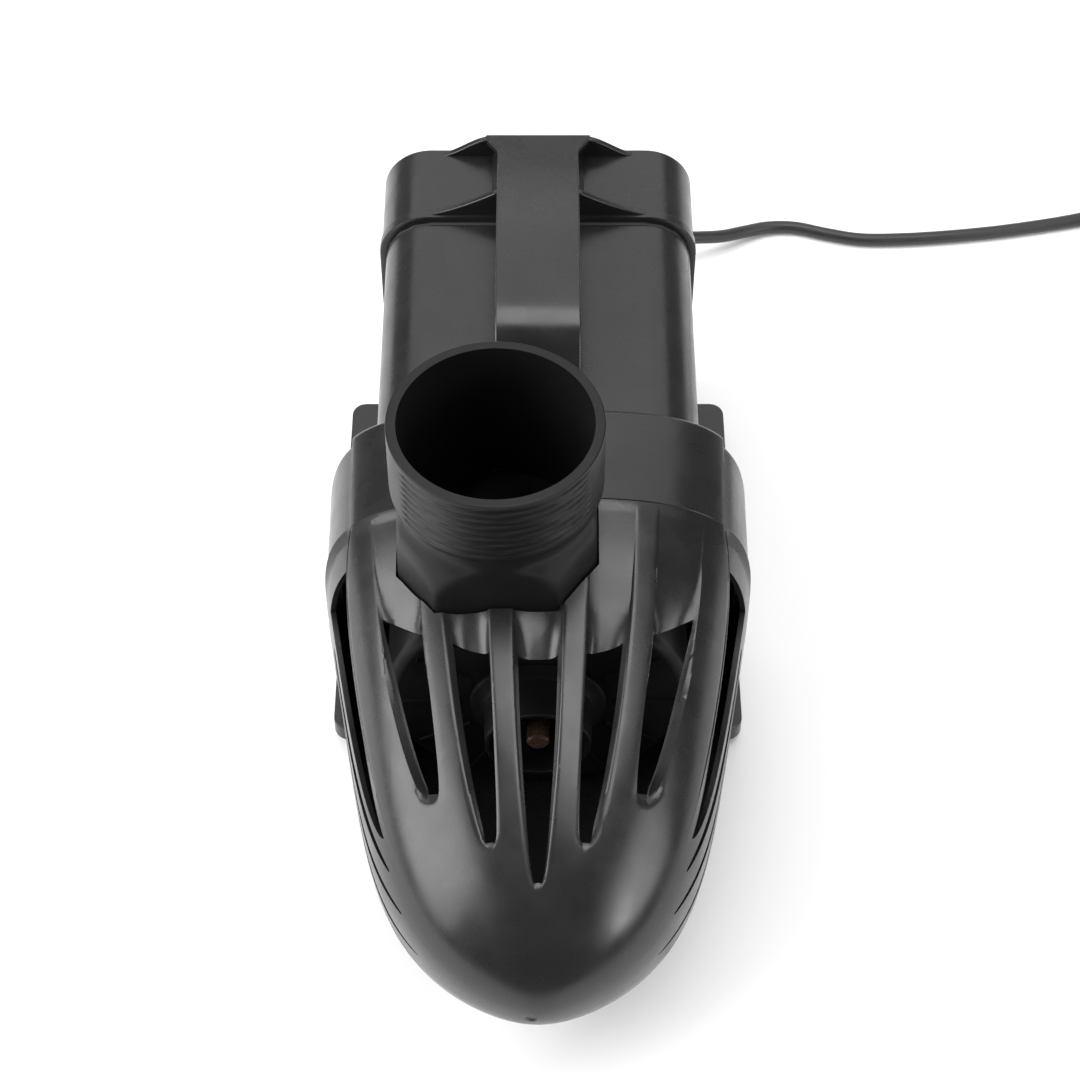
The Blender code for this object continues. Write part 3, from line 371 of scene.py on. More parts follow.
def moulded(name, color, roughness, gloss=0.5, grain=0.010 * MM):
    """Moulded plastic: slow flow marks in colour and gloss, and a fine grain."""
    material, tree, shader, place = start_material(name)
    shader.inputs["Specular IOR Level"].default_value = gloss
    flow = noise(tree, place, 14.0, 4.0, (1.0, 0.45, 1.0))
    darker = tuple(c * 0.78 for c in color)
    lighter = tuple(c * 1.22 for c in color)
    tint(tree, shader, flow, darker, lighter)
    vary_roughness(tree, shader, noise(tree, place, 60.0, 5.0), roughness - 0.05,
                   roughness + 0.06)
    emboss(tree, shader, noise(tree, place, 2600.0, 2.0), grain, 0.5)
    return material


def rubbery(name, color, roughness, grain_scale=1500.0):
    """Soft rubber: matt, faintly dusty, with a fine pebbled surface."""
    material, tree, shader, place = start_material(name, sheen=0.15)
    dust = noise(tree, place, 90.0, 6.0)
    tint(tree, shader, dust, color, tuple(c * 1.6 for c in color))
    vary_roughness(tree, shader, dust, roughness - 0.06, roughness + 0.08)
    emboss(tree, shader, noise(tree, place, grain_scale, 3.0), 0.03 * MM)
    return material


def metal(name, dark, light, roughness, stretch=(1.0, 1.0, 1.0)):
    """Bare metal: drawn or ground lines, and a slight tarnish."""
    material, tree, shader, place = start_material(name, metallic=1.0)
    lines = noise(tree, place, 900.0, 4.0, stretch)
    tint(tree, shader, noise(tree, place, 160.0, 4.0), dark, light)
    vary_roughness(tree, shader, lines, roughness - 0.08, roughness + 0.14)
    emboss(tree, shader, lines, 0.008 * MM, 0.6)
    return material


def ceramic_brown():
    """The brown oxide ceramic of the shaft and bushes."""
    material, tree, shader, place = start_material("shaft_ceramic", coat=0.3)
    tint(tree, shader, noise(tree, place, 220.0, 5.0), (0.060, 0.030, 0.016), (0.09, 0.050, 0.03))
    vary_roughness(tree, shader, noise(tree, place, 700.0), 0.20, 0.34)
    emboss(tree, shader, noise(tree, place, 3000.0), 0.004 * MM, 0.5)
    return material


def ferrite():
    """The plastic-bonded magnet: dark, with fine metallic specks."""
    material, tree, shader, place = start_material("rotor_magnet", metallic=0.35)
    tint(tree, shader, noise(tree, place, 2400.0, 2.0), (0.020, 0.020, 0.023),
         (0.075, 0.075, 0.080))
    vary_roughness(tree, shader, noise(tree, place, 300.0), 0.32, 0.52)
    emboss(tree, shader, noise(tree, place, 1800.0), 0.012 * MM)
    return material


def laminated_iron():
    """The stack of stator sheets, seen on edge as fine bands along Y."""
    material, tree, shader, place = start_material("stator_iron", metallic=0.9)
    sheets = bands(tree, place, "Y", 320.0, 0.4)
    tint(tree, shader, sheets, (0.15, 0.14, 0.13), (0.36, 0.35, 0.34))
    vary_roughness(tree, shader, noise(tree, place, 400.0), 0.35, 0.60)
    emboss(tree, shader, sheets, 0.05 * MM)
    return material


def enamelled_copper():
    """Winding wire under amber varnish."""
    material, tree, shader, place = start_material("winding_copper", metallic=0.8, coat=0.5)
    tint(tree, shader, noise(tree, place, 260.0, 5.0), (0.33, 0.10, 0.03), (0.62, 0.25, 0.09))
    vary_roughness(tree, shader, noise(tree, place, 500.0), 0.22, 0.40)
    emboss(tree, shader, bands(tree, place, "DIAGONAL", 700.0, 2.0), 0.03 * MM)
    return material


def make_materials():
    """Every finish, under the name of its material slot."""
    return {
        "shell_black": moulded("shell_black", (0.0105, 0.0105, 0.0112), 0.27),
        "volute_black": moulded("volute_black", (0.0070, 0.0070, 0.0073), 0.40, 0.20),
        "plate_grey": moulded("plate_grey", (0.070, 0.070, 0.076), 0.48),
        "seal_rubber": rubbery("seal_rubber", (0.008, 0.008, 0.008), 0.72),
        "cord_rubber": rubbery("cord_rubber", (0.010, 0.010, 0.010), 0.46, 2600.0),
        "screw_steel": metal("screw_steel", (0.46, 0.46, 0.47), (0.62, 0.62, 0.63), 0.28,
                             (1.0, 1.0, 0.15)),
        "shaft_ceramic": ceramic_brown(),
        "rotor_magnet": ferrite(),
        "stator_iron": laminated_iron(),
        "winding_copper": enamelled_copper(),
        "plug_brass": metal("plug_brass", (0.62, 0.42, 0.17), (0.78, 0.58, 0.28), 0.26,
                            (1.0, 0.15, 1.0)),
    }


FINISH = make_materials()


def finish_cad_nodes():
    """Give every CAD node its slot's finish, which those left showing keep."""
    for entry in frame["record"]["materials"]:
        for node in entry.get("nodes", ()):
            data = frame["nodes"][node].data
            data.materials.clear()
            data.materials.append(FINISH[entry["slot"]])


# -------------------------------------------------------------------- camera
CAMERA_PLACE = (0.0, -0.6817, 0.9821)
CAMERA_TILT = 38.5                          # degrees up from straight down


def add_camera():
    """The photograph's view: from the front, looking well down on the pump."""
    data = bpy.data.cameras.new("camera")
    data.sensor_width = 36.0
    data.lens = 83.33
    data.shift_x = 0.0019
    data.clip_start = 0.05
    camera = bpy.data.objects.new("camera", data)
    camera.location = CAMERA_PLACE
    camera.rotation_euler = (math.radians(CAMERA_TILT), 0.0, 0.0)
    bpy.context.scene.collection.objects.link(camera)
    bpy.context.scene.camera = camera


# ---------------------------------------------------------------- power cord
# The laid-out stretch, from the strain relief to the coil, along the CAD's.
CORD_ROUTE = (
    (0.0400, 0.2616, 0.0340), (0.0411, 0.2696, 0.0338), (0.0442, 0.2771, 0.0328),
    (0.0491, 0.2835, 0.0305), (0.0555, 0.2885, 0.0272), (0.0616, 0.2913, 0.0240),
    (0.0730, 0.2950, 0.0190), (0.0870, 0.3000, 0.0140), (0.1010, 0.3060, 0.0090), (0.1140, 0.3130, 0.0055),
    (0.1280, 0.3180, 0.0040), (0.1430, 0.3180, 0.0037), (0.1600, 0.3130, 0.0037),
    (0.1780, 0.3090, 0.0037), (0.2000, 0.3090, 0.0037), (0.2250, 0.3110, 0.0037),
    (0.2550, 0.3150, 0.0037), (0.2900, 0.3220, 0.0037), (0.3250, 0.3310, 0.0037),
    (0.3530, 0.3345, 0.0037),
)
# From the coil's top layer, down beside it and into the plug.
CORD_TAIL = (
    (0.4425, 0.2920, 0.0246), (0.4470, 0.2800, 0.0222), (0.4485, 0.2680, 0.0180),
    (0.4460, 0.2560, 0.0142), (0.4422, 0.2470, 0.0127), (0.4410, 0.2430, 0.0125),
)
COIL_RINGS = 5                  # turns side by side in each layer
RING_PITCH, LAYER_PITCH = 7.05 * MM, 7.2 * MM
OUTER_RING_R = 57.5 * MM
LOWEST_LAYER_Z = 3.7 * MM
POINTS_PER_TURN = 36
RISE_TURNS = 0.45               # part of a turn in which the cord climbs a layer
COIL_TURNS = 17.18
EASE_TURNS = 0.15               # how far its changes of course are spread out


def smooth_line(points, per_span=6):
    """Points along a Catmull-Rom curve through the given ones."""
    route = [Vector(p) for p in points]
    route = [2 * route[0] - route[1]] + route + [2 * route[-1] - route[-2]]
    line = []
    for a, b, c, d in zip(route, route[1:], route[2:], route[3:]):
        for k in range(per_span):
            t = k / per_span
            line.append(0.5 * (2 * b + (c - a) * t + (2 * a - 5 * b + 4 * c - d) * t ** 2
                               + (3 * b - a - 3 * c + d) * t ** 3))
    line.append(route[-2])
    return line


def coil_course(turn):
    """The ring and the layer that the cord is in after so many turns."""
    across = COIL_RINGS - 1
    layer, within = divmod(max(0.0, turn), across + RISE_TURNS)
    moved = min(within, across)
    ring = moved if layer % 2 == 0 else across - moved
    return Vector((ring, layer + max(0.0, within - across) / RISE_TURNS))


def coil_line():
    """The turns: rings beside each other, in layers on each other."""
    line = []
    for i in range(round(COIL_TURNS * POINTS_PER_TURN) + 1):
        turn = i / POINTS_PER_TURN
        nearby = [coil_course(turn + EASE_TURNS * k / 3) for k in range(-3, 4)]
        ring, layer = sum(nearby, Vector((0.0, 0.0))) / len(nearby)
        radius = OUTER_RING_R - ring * RING_PITCH
        angle = math.radians(90) - 2 * math.pi * turn
        line.append(Vector((COIL_CENTRE[0] + radius * math.cos(angle),
                            COIL_CENTRE[1] + radius * math.sin(angle),
                            LOWEST_LAYER_Z + layer * LAYER_PITCH)))
    return line


def make_strain_relief(name, x, z, start, end, node):
    """A tapered rubber sleeve, ringed so that it can flex."""
    span = end - start
    profile = [(0.0, start), (7.5 * MM, start), (7.5 * MM, start + 0.14 * span)]
    rings = 6
    for i in range(rings):
        t0 = 0.18 + 0.80 * i / rings
        for t, inset in ((t0, 1.1), (t0 + 0.035, 1.1), (t0 + 0.055, 0.0), (t0 + 0.115, 0.0)):
            profile.append(((7.3 - 2.8 * t - inset) * MM, start + t * span))
    profile += [(4.4 * MM, end), (0.0, end)]
    relief = turned(name, profile, (x, 0.0, z), steps=48)
    return piece(relief, "seal_rubber" if node == "strain_relief" else "cord_rubber", PUMP, node)


def make_gland():
    """The gland body and its fluted nut on the end cap."""
    x = (gland_low.x + gland_high.x) / 2
    z = (gland_low.z + gland_high.z) / 2
    body = turned("gland_body", [(4.0 * MM, gland_high.y), (10.9 * MM, gland_high.y),
                                 (11.5 * MM, gland_high.y - 0.6 * MM),
                                 (11.5 * MM, gland_low.y), (4.0 * MM, gland_low.y)],
                  (x, 0.0, z), steps=48, loop=True)
    body = piece(body, "shell_black", PUMP, "cord_gland")
    low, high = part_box("gland_nut")
    steps, flutes = 96, 12

    def ring(y, radius, bite):
        places = []
        for i in range(steps):
            a = 2 * math.pi * i / steps
            r = radius - bite * (0.5 + 0.5 * math.cos(flutes * a)) ** 2
            places.append((x + r * math.cos(a), y, z + r * math.sin(a)))
        return places
    sections = ((low.y, 11.2, 1.1), (low.y + 0.9 * MM, 12.1, 1.1),
                (high.y - 2.4 * MM, 12.1, 1.1), (high.y, 9.9, 1.1),
                (high.y, 4.0, 0.0), (low.y, 4.0, 0.0))
    rings = [ring(y, radius * MM, bite * MM) for y, radius, bite in sections]
    nut = loft("gland_nut_fluted", rings, loop=True)
    nut = piece(nut, "shell_black", PUMP, "gland_nut")
    relief_low, relief_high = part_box("strain_relief")
    relief = make_strain_relief("strain_relief_ringed", x, z, relief_low.y, relief_high.y,
                                "strain_relief")
    return [body, nut, relief]


PLUG_HALF, PLUG_CORNER = (16.5 * MM, 12.5 * MM), 7.0 * MM
PLUG_RIDGES = 5
# How far along the plug, and the share of its full width and height there.
PLUG_SECTIONS = (
    (0.0, 0.93, 0.93), (0.03, 1.0, 1.0), (0.20, 1.0, 1.0), (0.34, 0.86, 0.90),
    (0.62, 0.80, 0.84), (0.80, 0.74, 0.76), (0.95, 0.62, 0.66), (1.0, 0.52, 0.58),
)


def make_plug_body():
    """The plug's moulding, with a waisted and ridged grip."""
    low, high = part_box("plug_body")
    length = high.y - low.y
    rings = []
    for t, wide, tall in PLUG_SECTIONS:
        ring = rounded_rect(low.y + t * length, PLUG_HALF[0] * wide, PLUG_HALF[1] * tall,
                            PLUG_Z, PLUG_CORNER * tall, 8)
        rings.append([(x + PLUG_X, y, z) for x, y, z in ring])
    body = soften(loft("plug_moulding", rings), 0.8 * MM, 30.0)
    apply_modifiers(body)
    ridges = []
    for i in range(PLUG_RIDGES):
        y = low.y + length * (0.40 + 0.085 * i)
        for sx in (-1, 1):
            x = PLUG_X + sx * 12.6 * MM
            ridge = box("ridge", (x - 1.1 * MM, y - 0.6 * MM, PLUG_Z - 6 * MM),
                        (x + 1.1 * MM, y + 0.6 * MM, PLUG_Z + 6 * MM))
            ridges.append(soften(ridge, 0.4 * MM))
    combine(body, ridges, "UNION")
    return piece(body, "cord_rubber", PUMP, "plug_body")


def make_plug_blade(node):
    """A flat blade with a hole near its end."""
    low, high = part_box(node)
    blade = soften(box(node + "_drilled", low, high), 0.35 * MM, segments=2)
    apply_modifiers(blade)
    hole = cylinder("hole", 1.5 * MM, -1.0, 1.0, (0.0, 0.0, 0.0), steps=20)
    hole.matrix_world = (Matrix.Translation((PLUG_X, low.y + 4.0 * MM, (low.z + high.z) / 2))
                         @ Matrix.Rotation(math.radians(90), 4, "Z"))
    combine(blade, [hole], "DIFFERENCE")
    return piece(blade, "plug_brass", PUMP, node)


def make_plug_pin():
    """The round earth pin, with a rounded tip."""
    low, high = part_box("plug_earth_pin")
    radius = (high.x - low.x) / 2
    profile = [(0.0, low.y), (0.5 * radius, low.y + 0.2 * MM), (0.9 * radius, low.y + 1.0 * MM),
               (radius, low.y + 2.2 * MM), (radius, high.y), (0.0, high.y)]
    pin = turned("plug_earth_pin_round", profile,
                 ((low.x + high.x) / 2, 0.0, (low.z + high.z) / 2), steps=32)
    return piece(pin, "plug_brass", PUMP, "plug_earth_pin")


def make_plug():
    """The moulded plug with its blades, its pin and its strain relief."""
    low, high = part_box("plug_strain_relief")
    return [make_plug_body(), make_plug_blade("plug_blade_1"), make_plug_blade("plug_blade_2"),
            make_plug_pin(), make_strain_relief("plug_relief_ringed", PLUG_X, PLUG_Z, low.y,
                                                high.y, "plug_strain_relief")]


def make_cord():
    """The whole lead as one curve: laid out, wound up, and into its plug."""
    line = smooth_line(CORD_ROUTE) + coil_line() + smooth_line(CORD_TAIL)
    data = bpy.data.curves.new("power_lead", "CURVE")
    data.dimensions = "3D"
    data.bevel_depth = CORD_R
    data.bevel_resolution = 4
    data.use_fill_caps = True
    spline = data.splines.new("POLY")
    spline.points.add(len(line) - 1)
    for point, place in zip(spline.points, line):
        point.co = (*place, 1.0)
    spline.use_smooth = True
    cord = bpy.data.objects.new("power_lead", data)
    bpy.context.scene.collection.objects.link(cord)
    data.materials.append(FINISH["cord_rubber"])
    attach(cord, PUMP)
    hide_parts("power_cord", "cord_coil")
    make_gland() + make_plug()


# ------------------------------------------------- body section and features
CAGE_FRONT_Y = SEAM_Y - GAP
CAGE_LENGTH = CAGE_FRONT_Y - NOSE_Y
CAGE_WALL = 2.4 * MM
CAGE_ROWS = 150
EDGE_R = 1.2 * MM                   # rounding along a rib's edges
FLUTE_DEPTH = 6.0 * MM
FLUTE_START = 2.0 * MM              # plain lip between the seam and the flutes
LEDGE_SEAM_ANGLE = 54.2             # the hood's side edge at the seam, in degrees
LEDGE_SPREAD = 10.6                 # how much lower it runs ahead of the seam
LEDGE_SPREAD_LENGTH = 35 * MM
LEDGE_DROP_ANGLE = 2.6              # what the drop below the edge takes up
LEDGE_EDGE_DEPTH = 3 * MM
SIDE_END_ANGLE = 86.0               # where the recessed side is flush again
SLOT_REAR_Y = -84 * MM              # rear end of the middle slot
ARC_REACH = 23 * MM                 # how far behind it the outer slots end
SLOT_WALL_COLUMNS = 2               # columns that stay as a slot's side wall
SLOT_TIP_WALL = 3 * MM
GATE = (-2.5 * MM, 85.5 * MM)       # X and Z of the moulding gate's dimple
GATE_R, GATE_DEPTH = 2.4 * MM, 0.8 * MM

# Flutes: middle angle from the top, half angle, drift at the seam, tip's Y.
FLUTES = (
    (0.0, 8.0, 0.0, -177 * MM),
    (22.9, 6.3, 0.0, -162 * MM),
    (43.1, 6.2, -1.7, -143.5 * MM),
)
# Side slots: middle angle, half angle, rear end's Y, tip's Y, rise to the tip.
SIDE_SLOTS = (
    (70.2, 9.2, -27 * MM, -146 * MM, 3.8),
    (84.8, 2.1, -40 * MM, -158 * MM, 13.5),
    (92.8, 2.1, -40 * MM, -173 * MM, 15.5),
    (101.2, 2.1, -40 * MM, -184 * MM, 11.0),
    (110.0, 2.1, -40 * MM, -178 * MM, 8.0),
)


def section_radius(angle, half_w, half_h, top_q, bottom_q):
    """Distance from a section's middle to its edge; angle 0 is straight up."""
    s, c = abs(math.sin(angle)), math.cos(angle)
    q = top_q if c >= 0.0 else bottom_q
    return ((s / half_w) ** q + (abs(c) / half_h) ** q) ** (-1.0 / q)


# From the seam to the nose: the straight taper, and the two powers of the
# curve that rounds the nose off.
WIDTH_CURVE, HEIGHT_CURVE = (0.366, 6.96, 1 / 1.53), (0.21, 2.335, 0.5)


def narrowed(half, u, curve):
    """A half width or half height at a share u of the way to the nose."""
    straight, along, rounding = curve
    return half * (1 - straight * u) * (1 - u ** along) ** rounding


def cage_shape(y):
    """(half width, half height, middle Z, top and bottom exponents) at a Y."""
    u = min(max((CAGE_FRONT_Y - y) / CAGE_LENGTH, 0.0), 0.99999)
    return (narrowed(HALF_WIDTH, u, WIDTH_CURVE), narrowed(HALF_HEIGHT, u, HEIGHT_CURVE),
            BODY_Z + (NOSE_Z - BODY_Z) * u, 3.2 - 1.1 * u, 4.6 - 2.4 * u)


def shroud_shape(y):
    """The same for the shroud, which widens a little to the rear."""
    t = (y - SEAM_Y) / (SHROUD_REAR_Y - SEAM_Y)
    half_w = HALF_WIDTH + (SHROUD_HALF_WIDTH - HALF_WIDTH) * t
    return half_w, HALF_HEIGHT, BODY_Z, 3.2 + 0.3 * t, 4.6 + t


def taper(v):
    """How a slot narrows: 1 at its rear end, a small width from its tip on."""
    narrow = max(0.0, 1.0 - max(v, 0.0) ** 2.2) ** 0.38
    beyond = 0.12 + 0.5 * smooth_step(1.0, 1.4, v)
    return max(narrow, beyond)


def flute_edges(flute, y):
    """Inner and outer angle of a flute at a Y, in degrees from the top."""
    middle, half, drift, tip_y = flute
    v = (SLOT_REAR_Y - y) / (SLOT_REAR_Y - tip_y)
    middle += drift * smooth_step(SLOT_REAR_Y, CAGE_FRONT_Y, y)
    half *= taper(v)
    return middle - half, middle + half


def side_slot_edges(slot, y):
    """Upper and lower edge of a side slot at a Y."""
    middle, half, rear_y, tip_y, rise = slot
    along = (rear_y - y) / (rear_y - tip_y)
    middle -= rise * min(max(along, 0.0), 1.0) ** 2
    half *= taper(along)
    return middle - half, middle + half


def ledge_angle(y):
    """Where the hood's side edge runs, in degrees from the top."""
    ahead = max(0.0, SEAM_Y - y)
    return LEDGE_SEAM_ANGLE + LEDGE_SPREAD * (1 - math.exp(-ahead / LEDGE_SPREAD_LENGTH))


def ledge_fade(y):
    """1 where the side is fully recessed under the hood, 0 near the nose."""
    return smooth_step(-158 * MM, -95 * MM, y)


def ledge_recess(angle, y, shape):
    """How far the side panel lies inside the plain section, in metres."""
    edge = ledge_angle(y)
    foot = edge + LEDGE_DROP_ANGLE
    if angle <= edge:
        return 0.0
    edge_x = section_radius(math.radians(edge), *shape) * math.sin(math.radians(edge))

    def drop(at):
        radians = math.radians(at)
        return section_radius(radians, *shape) - edge_x / math.sin(radians)
    if angle <= foot:
        return drop(angle) * ledge_fade(y)
    back = min((angle - foot) / (SIDE_END_ANGLE - foot), 1.0)
    return max(0.0, drop(foot)) * ledge_fade(y) * (1 - back) * (1 - 0.3 * back)


def rear_arc(angle):
    """How far behind the middle slot's rear end a slot ends at an angle."""
    reach = ARC_REACH * (min(angle, 50.0) / 48.0) ** 2.4
    return reach * smooth_step(62.0, 50.0, angle)


def flute_depth(y, angle, tip_y):
    """Depth of a flute along its length, from the seam to its tip."""
    rear_y = SLOT_REAR_Y + rear_arc(angle)
    start_y = CAGE_FRONT_Y - FLUTE_START
    if y >= start_y:
        return 0.0
    lip = 0.4 * MM * smooth_step(start_y, start_y - 0.8 * MM, y)
    along = min((start_y - y) / (start_y - rear_y), 1.0)
    deepen = 0.16 * along + 0.84 * along ** 3.6
    depth = lip + (FLUTE_DEPTH - 0.4 * MM) * deepen
    return depth * smooth_step(tip_y + 0.5 * MM, tip_y + 12 * MM, y)


def rounded_edge(distance, depth):
    """Depth of a rib's rounded edge at a distance from the flute."""
    radius = min(EDGE_R, depth / 2)
    if radius <= 0.0 or distance >= EDGE_R:
        return 0.0
    near = 1 - distance / EDGE_R
    return radius * (1 - math.sqrt(1 - near * near))


def cage_relief(angle, y, shape):
    """Inward depth of the cage's surface at an angle and a Y."""
    radius = section_radius(math.radians(angle), *shape)
    depth = ledge_recess(angle, y, shape)
    for flute in FLUTES:
        inner, outer = flute_edges(flute, y)
        full = flute_depth(y, angle, flute[3])
        if full <= 0.0:
            continue
        if inner < angle < outer:
            t = abs(2 * (angle - inner) / (outer - inner) - 1)
            sharpness = 2.4 + 2.6 * smooth_step(-60 * MM, -90 * MM, y)
            edge = rounded_edge(0.0, full)
            depth += edge + (full - edge) * (1 - t ** sharpness)
        else:
            off = min(abs(angle - inner), abs(angle - outer))
            depth += rounded_edge(math.radians(off) * radius, full)
    if angle < ledge_angle(y):
        off = math.radians(ledge_angle(y) - angle) * radius
        depth += rounded_edge(off, LEDGE_EDGE_DEPTH * ledge_fade(y))
    return depth


def spaced(start, end, count, ends="both"):
    """Places from start up to, not including, end; closer at the given ends."""
    values = []
    for k in range(count):
        t = k / count
        if ends == "both":
            t = 0.5 - 0.5 * math.cos(math.pi * t)
        elif ends == "far":
            t = math.sin(0.5 * math.pi * t)
        values.append(start + (end - start) * t)
    return values


# Columns of a half section: (name of what the band is, number of columns).
BANDS = (
    ("flute_0", 7), ("rib", 10), ("flute_1", 14), ("rib", 10), ("flute_2", 14), ("rib", 12),
    ("drop", 4), ("gap", 3), ("side_0", 8), ("gap", 5), ("side_1", 4), ("gap", 5),
    ("side_2", 4), ("gap", 5), ("side_3", 4), ("gap", 5), ("side_4", 4), ("bottom", 24),
)


def band_limits(y):
    """Angles between the bands of a half section at a Y."""
    limits = [0.0, flute_edges(FLUTES[0], y)[1]]
    for flute in FLUTES[1:]:
        limits += flute_edges(flute, y)
    limits += [ledge_angle(y), ledge_angle(y) + LEDGE_DROP_ANGLE]
    for slot in SIDE_SLOTS:
        upper, lower = side_slot_edges(slot, y)
        limits += [max(upper, limits[-1] + 0.3), max(lower, limits[-1] + 0.6)]
    return limits + [180.0]


def half_angles(y):
    """The angles of every column of a half section, 0 included, 180 not."""
    limits = band_limits(y)
    angles = []
    for (kind, count), start, end in zip(BANDS, limits, limits[1:]):
        ends = {"flute_0": "far", "bottom": "none"}.get(kind, "both")
        angles += spaced(start, end, count, ends)
    return angles


def band_of_columns():
    """For each column of a half section, its band and its place in it."""
    return [(kind, k, count) for kind, count in BANDS for k in range(count)]


def open_face(column, y):
    """Whether the face between a column and the next is part of a slot."""
    kind, k, count = column
    if kind.startswith("side"):
        rear_y, tip_y = SIDE_SLOTS[int(kind[-1])][2:4]
        return tip_y < y < rear_y
    if not kind.startswith("flute"):
        return False
    tip_y = FLUTES[int(kind[-1])][3]
    first = 0 if kind == "flute_0" else SLOT_WALL_COLUMNS
    within = first <= k < count - SLOT_WALL_COLUMNS
    return within and tip_y + SLOT_TIP_WALL < y < SLOT_REAR_Y


def row_y(row):
    """Y of a row of the cage, closer together near the nose."""
    return CAGE_FRONT_Y - CAGE_LENGTH * math.sin(math.pi / 2 * row / CAGE_ROWS)


def slot_row():
    """The row that runs along the rear ends of the top slots."""
    return min(range(CAGE_ROWS), key=lambda row: abs(row_y(row) - SLOT_REAR_Y))


def surface_point(angle, side, y, centre_z, size, depth=0.0):
    """A point of a section, moved inwards by a depth."""
    radians = math.radians(angle)
    radius = section_radius(radians, *size) - depth
    return (side * radius * math.sin(radians), y, centre_z + radius * math.cos(radians))


def cage_row(row):
    """One ring of the cage: its right half down, then its left half up."""
    base_y = row_y(row)
    warp = (smooth_step(0, slot_row(), row) if row <= slot_row()
            else smooth_step(-168 * MM, SLOT_REAR_Y, base_y))
    angles = half_angles(base_y)

    def point(angle, side):
        y = base_y + rear_arc(angle) * warp
        shape = cage_shape(y)
        size = shape[:2] + shape[3:]
        depth = cage_relief(angle, y, size) if row else 0.0
        x, y, z = surface_point(angle, side, y, shape[2], size, depth)
        off_gate = math.hypot(x - GATE[0], z - GATE[1])
        return (x, y + GATE_DEPTH * smooth_step(GATE_R, GATE_R * 0.7, off_gate), z)
    return mirrored(point, angles)


def duct_outline(grow):
    """The chamfered square of the discharge duct in plan, grown all round."""
    half = DUCT_HALF + grow
    cut_x, cut_y = (cut + grow * 0.6 for cut in DUCT_CHAMFER)
    corners = []
    for sx, sy in ((1, 1), (-1, 1), (-1, -1), (1, -1)):
        near = (OUTLET_X + sx * half, OUTLET_Y + sy * (half - cut_y))
        far = (OUTLET_X + sx * (half - cut_x), OUTLET_Y + sy * half)
        corners += [near, far] if sx == sy else [far, near]
    return corners


def duct_cutter(grow):
    """The prism that clears the duct through the top of the body."""
    height = 120 * MM
    return extruded("duct_cutter", duct_outline(grow), height,
                    Matrix.Translation((0.0, 0.0, DUCT_BOTTOM_Z + height / 2)))


def cut_duct_opening(bm, outline):
    """Clear an outline, in plan, through the top of an open skin."""
    for start, end in zip(outline, outline[1:] + outline[:1]):
        faces = [f for f in bm.faces if f.calc_center_median().z > DUCT_BOTTOM_Z]
        edges = list({e for f in faces for e in f.edges})
        verts = list({v for f in faces for v in f.verts})
        across = (end[1] - start[1], start[0] - end[0], 0.0)
        bmesh.ops.bisect_plane(bm, geom=verts + edges + faces, dist=WELD,
                               plane_co=(*start, 0.0), plane_no=across)
    inside = []
    for face in bm.faces:
        middle = face.calc_center_median()
        sides = [(end[0] - start[0]) * (middle.y - start[1])
                 > (end[1] - start[1]) * (middle.x - start[0])
                 for start, end in zip(outline, outline[1:] + outline[:1])]
        if middle.z > DUCT_BOTTOM_Z and (all(sides) or not any(sides)):
            inside.append(face)
    bmesh.ops.delete(bm, geom=inside, context="FACES")


# A snap tongue on the cage's inner wall, in plan, in mm.
TONGUE_OUTLINE = ((85.2, -21), (89.3, -21), (89.3, -11.8), (87.9, -11.8), (87.9, -3), (85.2, -3))
TONGUE_HEIGHTS = (70 * MM, 112 * MM)
TONGUE_WIDTH = 14 * MM


def make_cage():
    """The helmet: fluted hood, pointed slots, recessed sides, slotted flanks."""
    columns = band_of_columns()
    half = len(columns)

    def build(bm):
        rows = [[bm.verts.new(p) for p in cage_row(row)] for row in range(CAGE_ROWS)]
        for row, (first, second) in enumerate(zip(rows[:-1], rows[1:])):
            y = (row_y(row) + row_y(row + 1)) / 2
            for i in range(2 * half):
                j = (i + 1) % (2 * half)
                column = columns[i if i < half else 2 * half - 1 - i]
                if not open_face(column, y):
                    bm.faces.new((first[j], first[i], second[i], second[j]))
        pole = bm.verts.new((0.0, NOSE_Y, NOSE_Z))
        bridge(bm, rows[-1][::-1], [pole])
        cut_duct_opening(bm, duct_outline(1.0 * MM))
    cage = add_object("cage_helmet", mesh_from("cage_helmet", build, closed=False))
    wall = cage.modifiers.new("wall", "SOLIDIFY")
    wall.thickness = CAGE_WALL
    wall.offset = -1.0
    soften(cage, 0.35 * MM, 50.0, 2)
    tongues = []
    for sx in (-1, 1):
        outline = [(sx * x * MM, y * MM) for x, y in TONGUE_OUTLINE]
        for z in TONGUE_HEIGHTS:
            tongue = extruded("tongue", outline, TONGUE_WIDTH, Matrix.Translation((0.0, 0.0, z)))
            tongues.append(soften(tongue, 0.3 * MM, segments=2))
    cage = merged("cage_helmet", [cage] + tongues)
    return piece(cage, "shell_black", CAGE, "front_cage", angle=38.0)


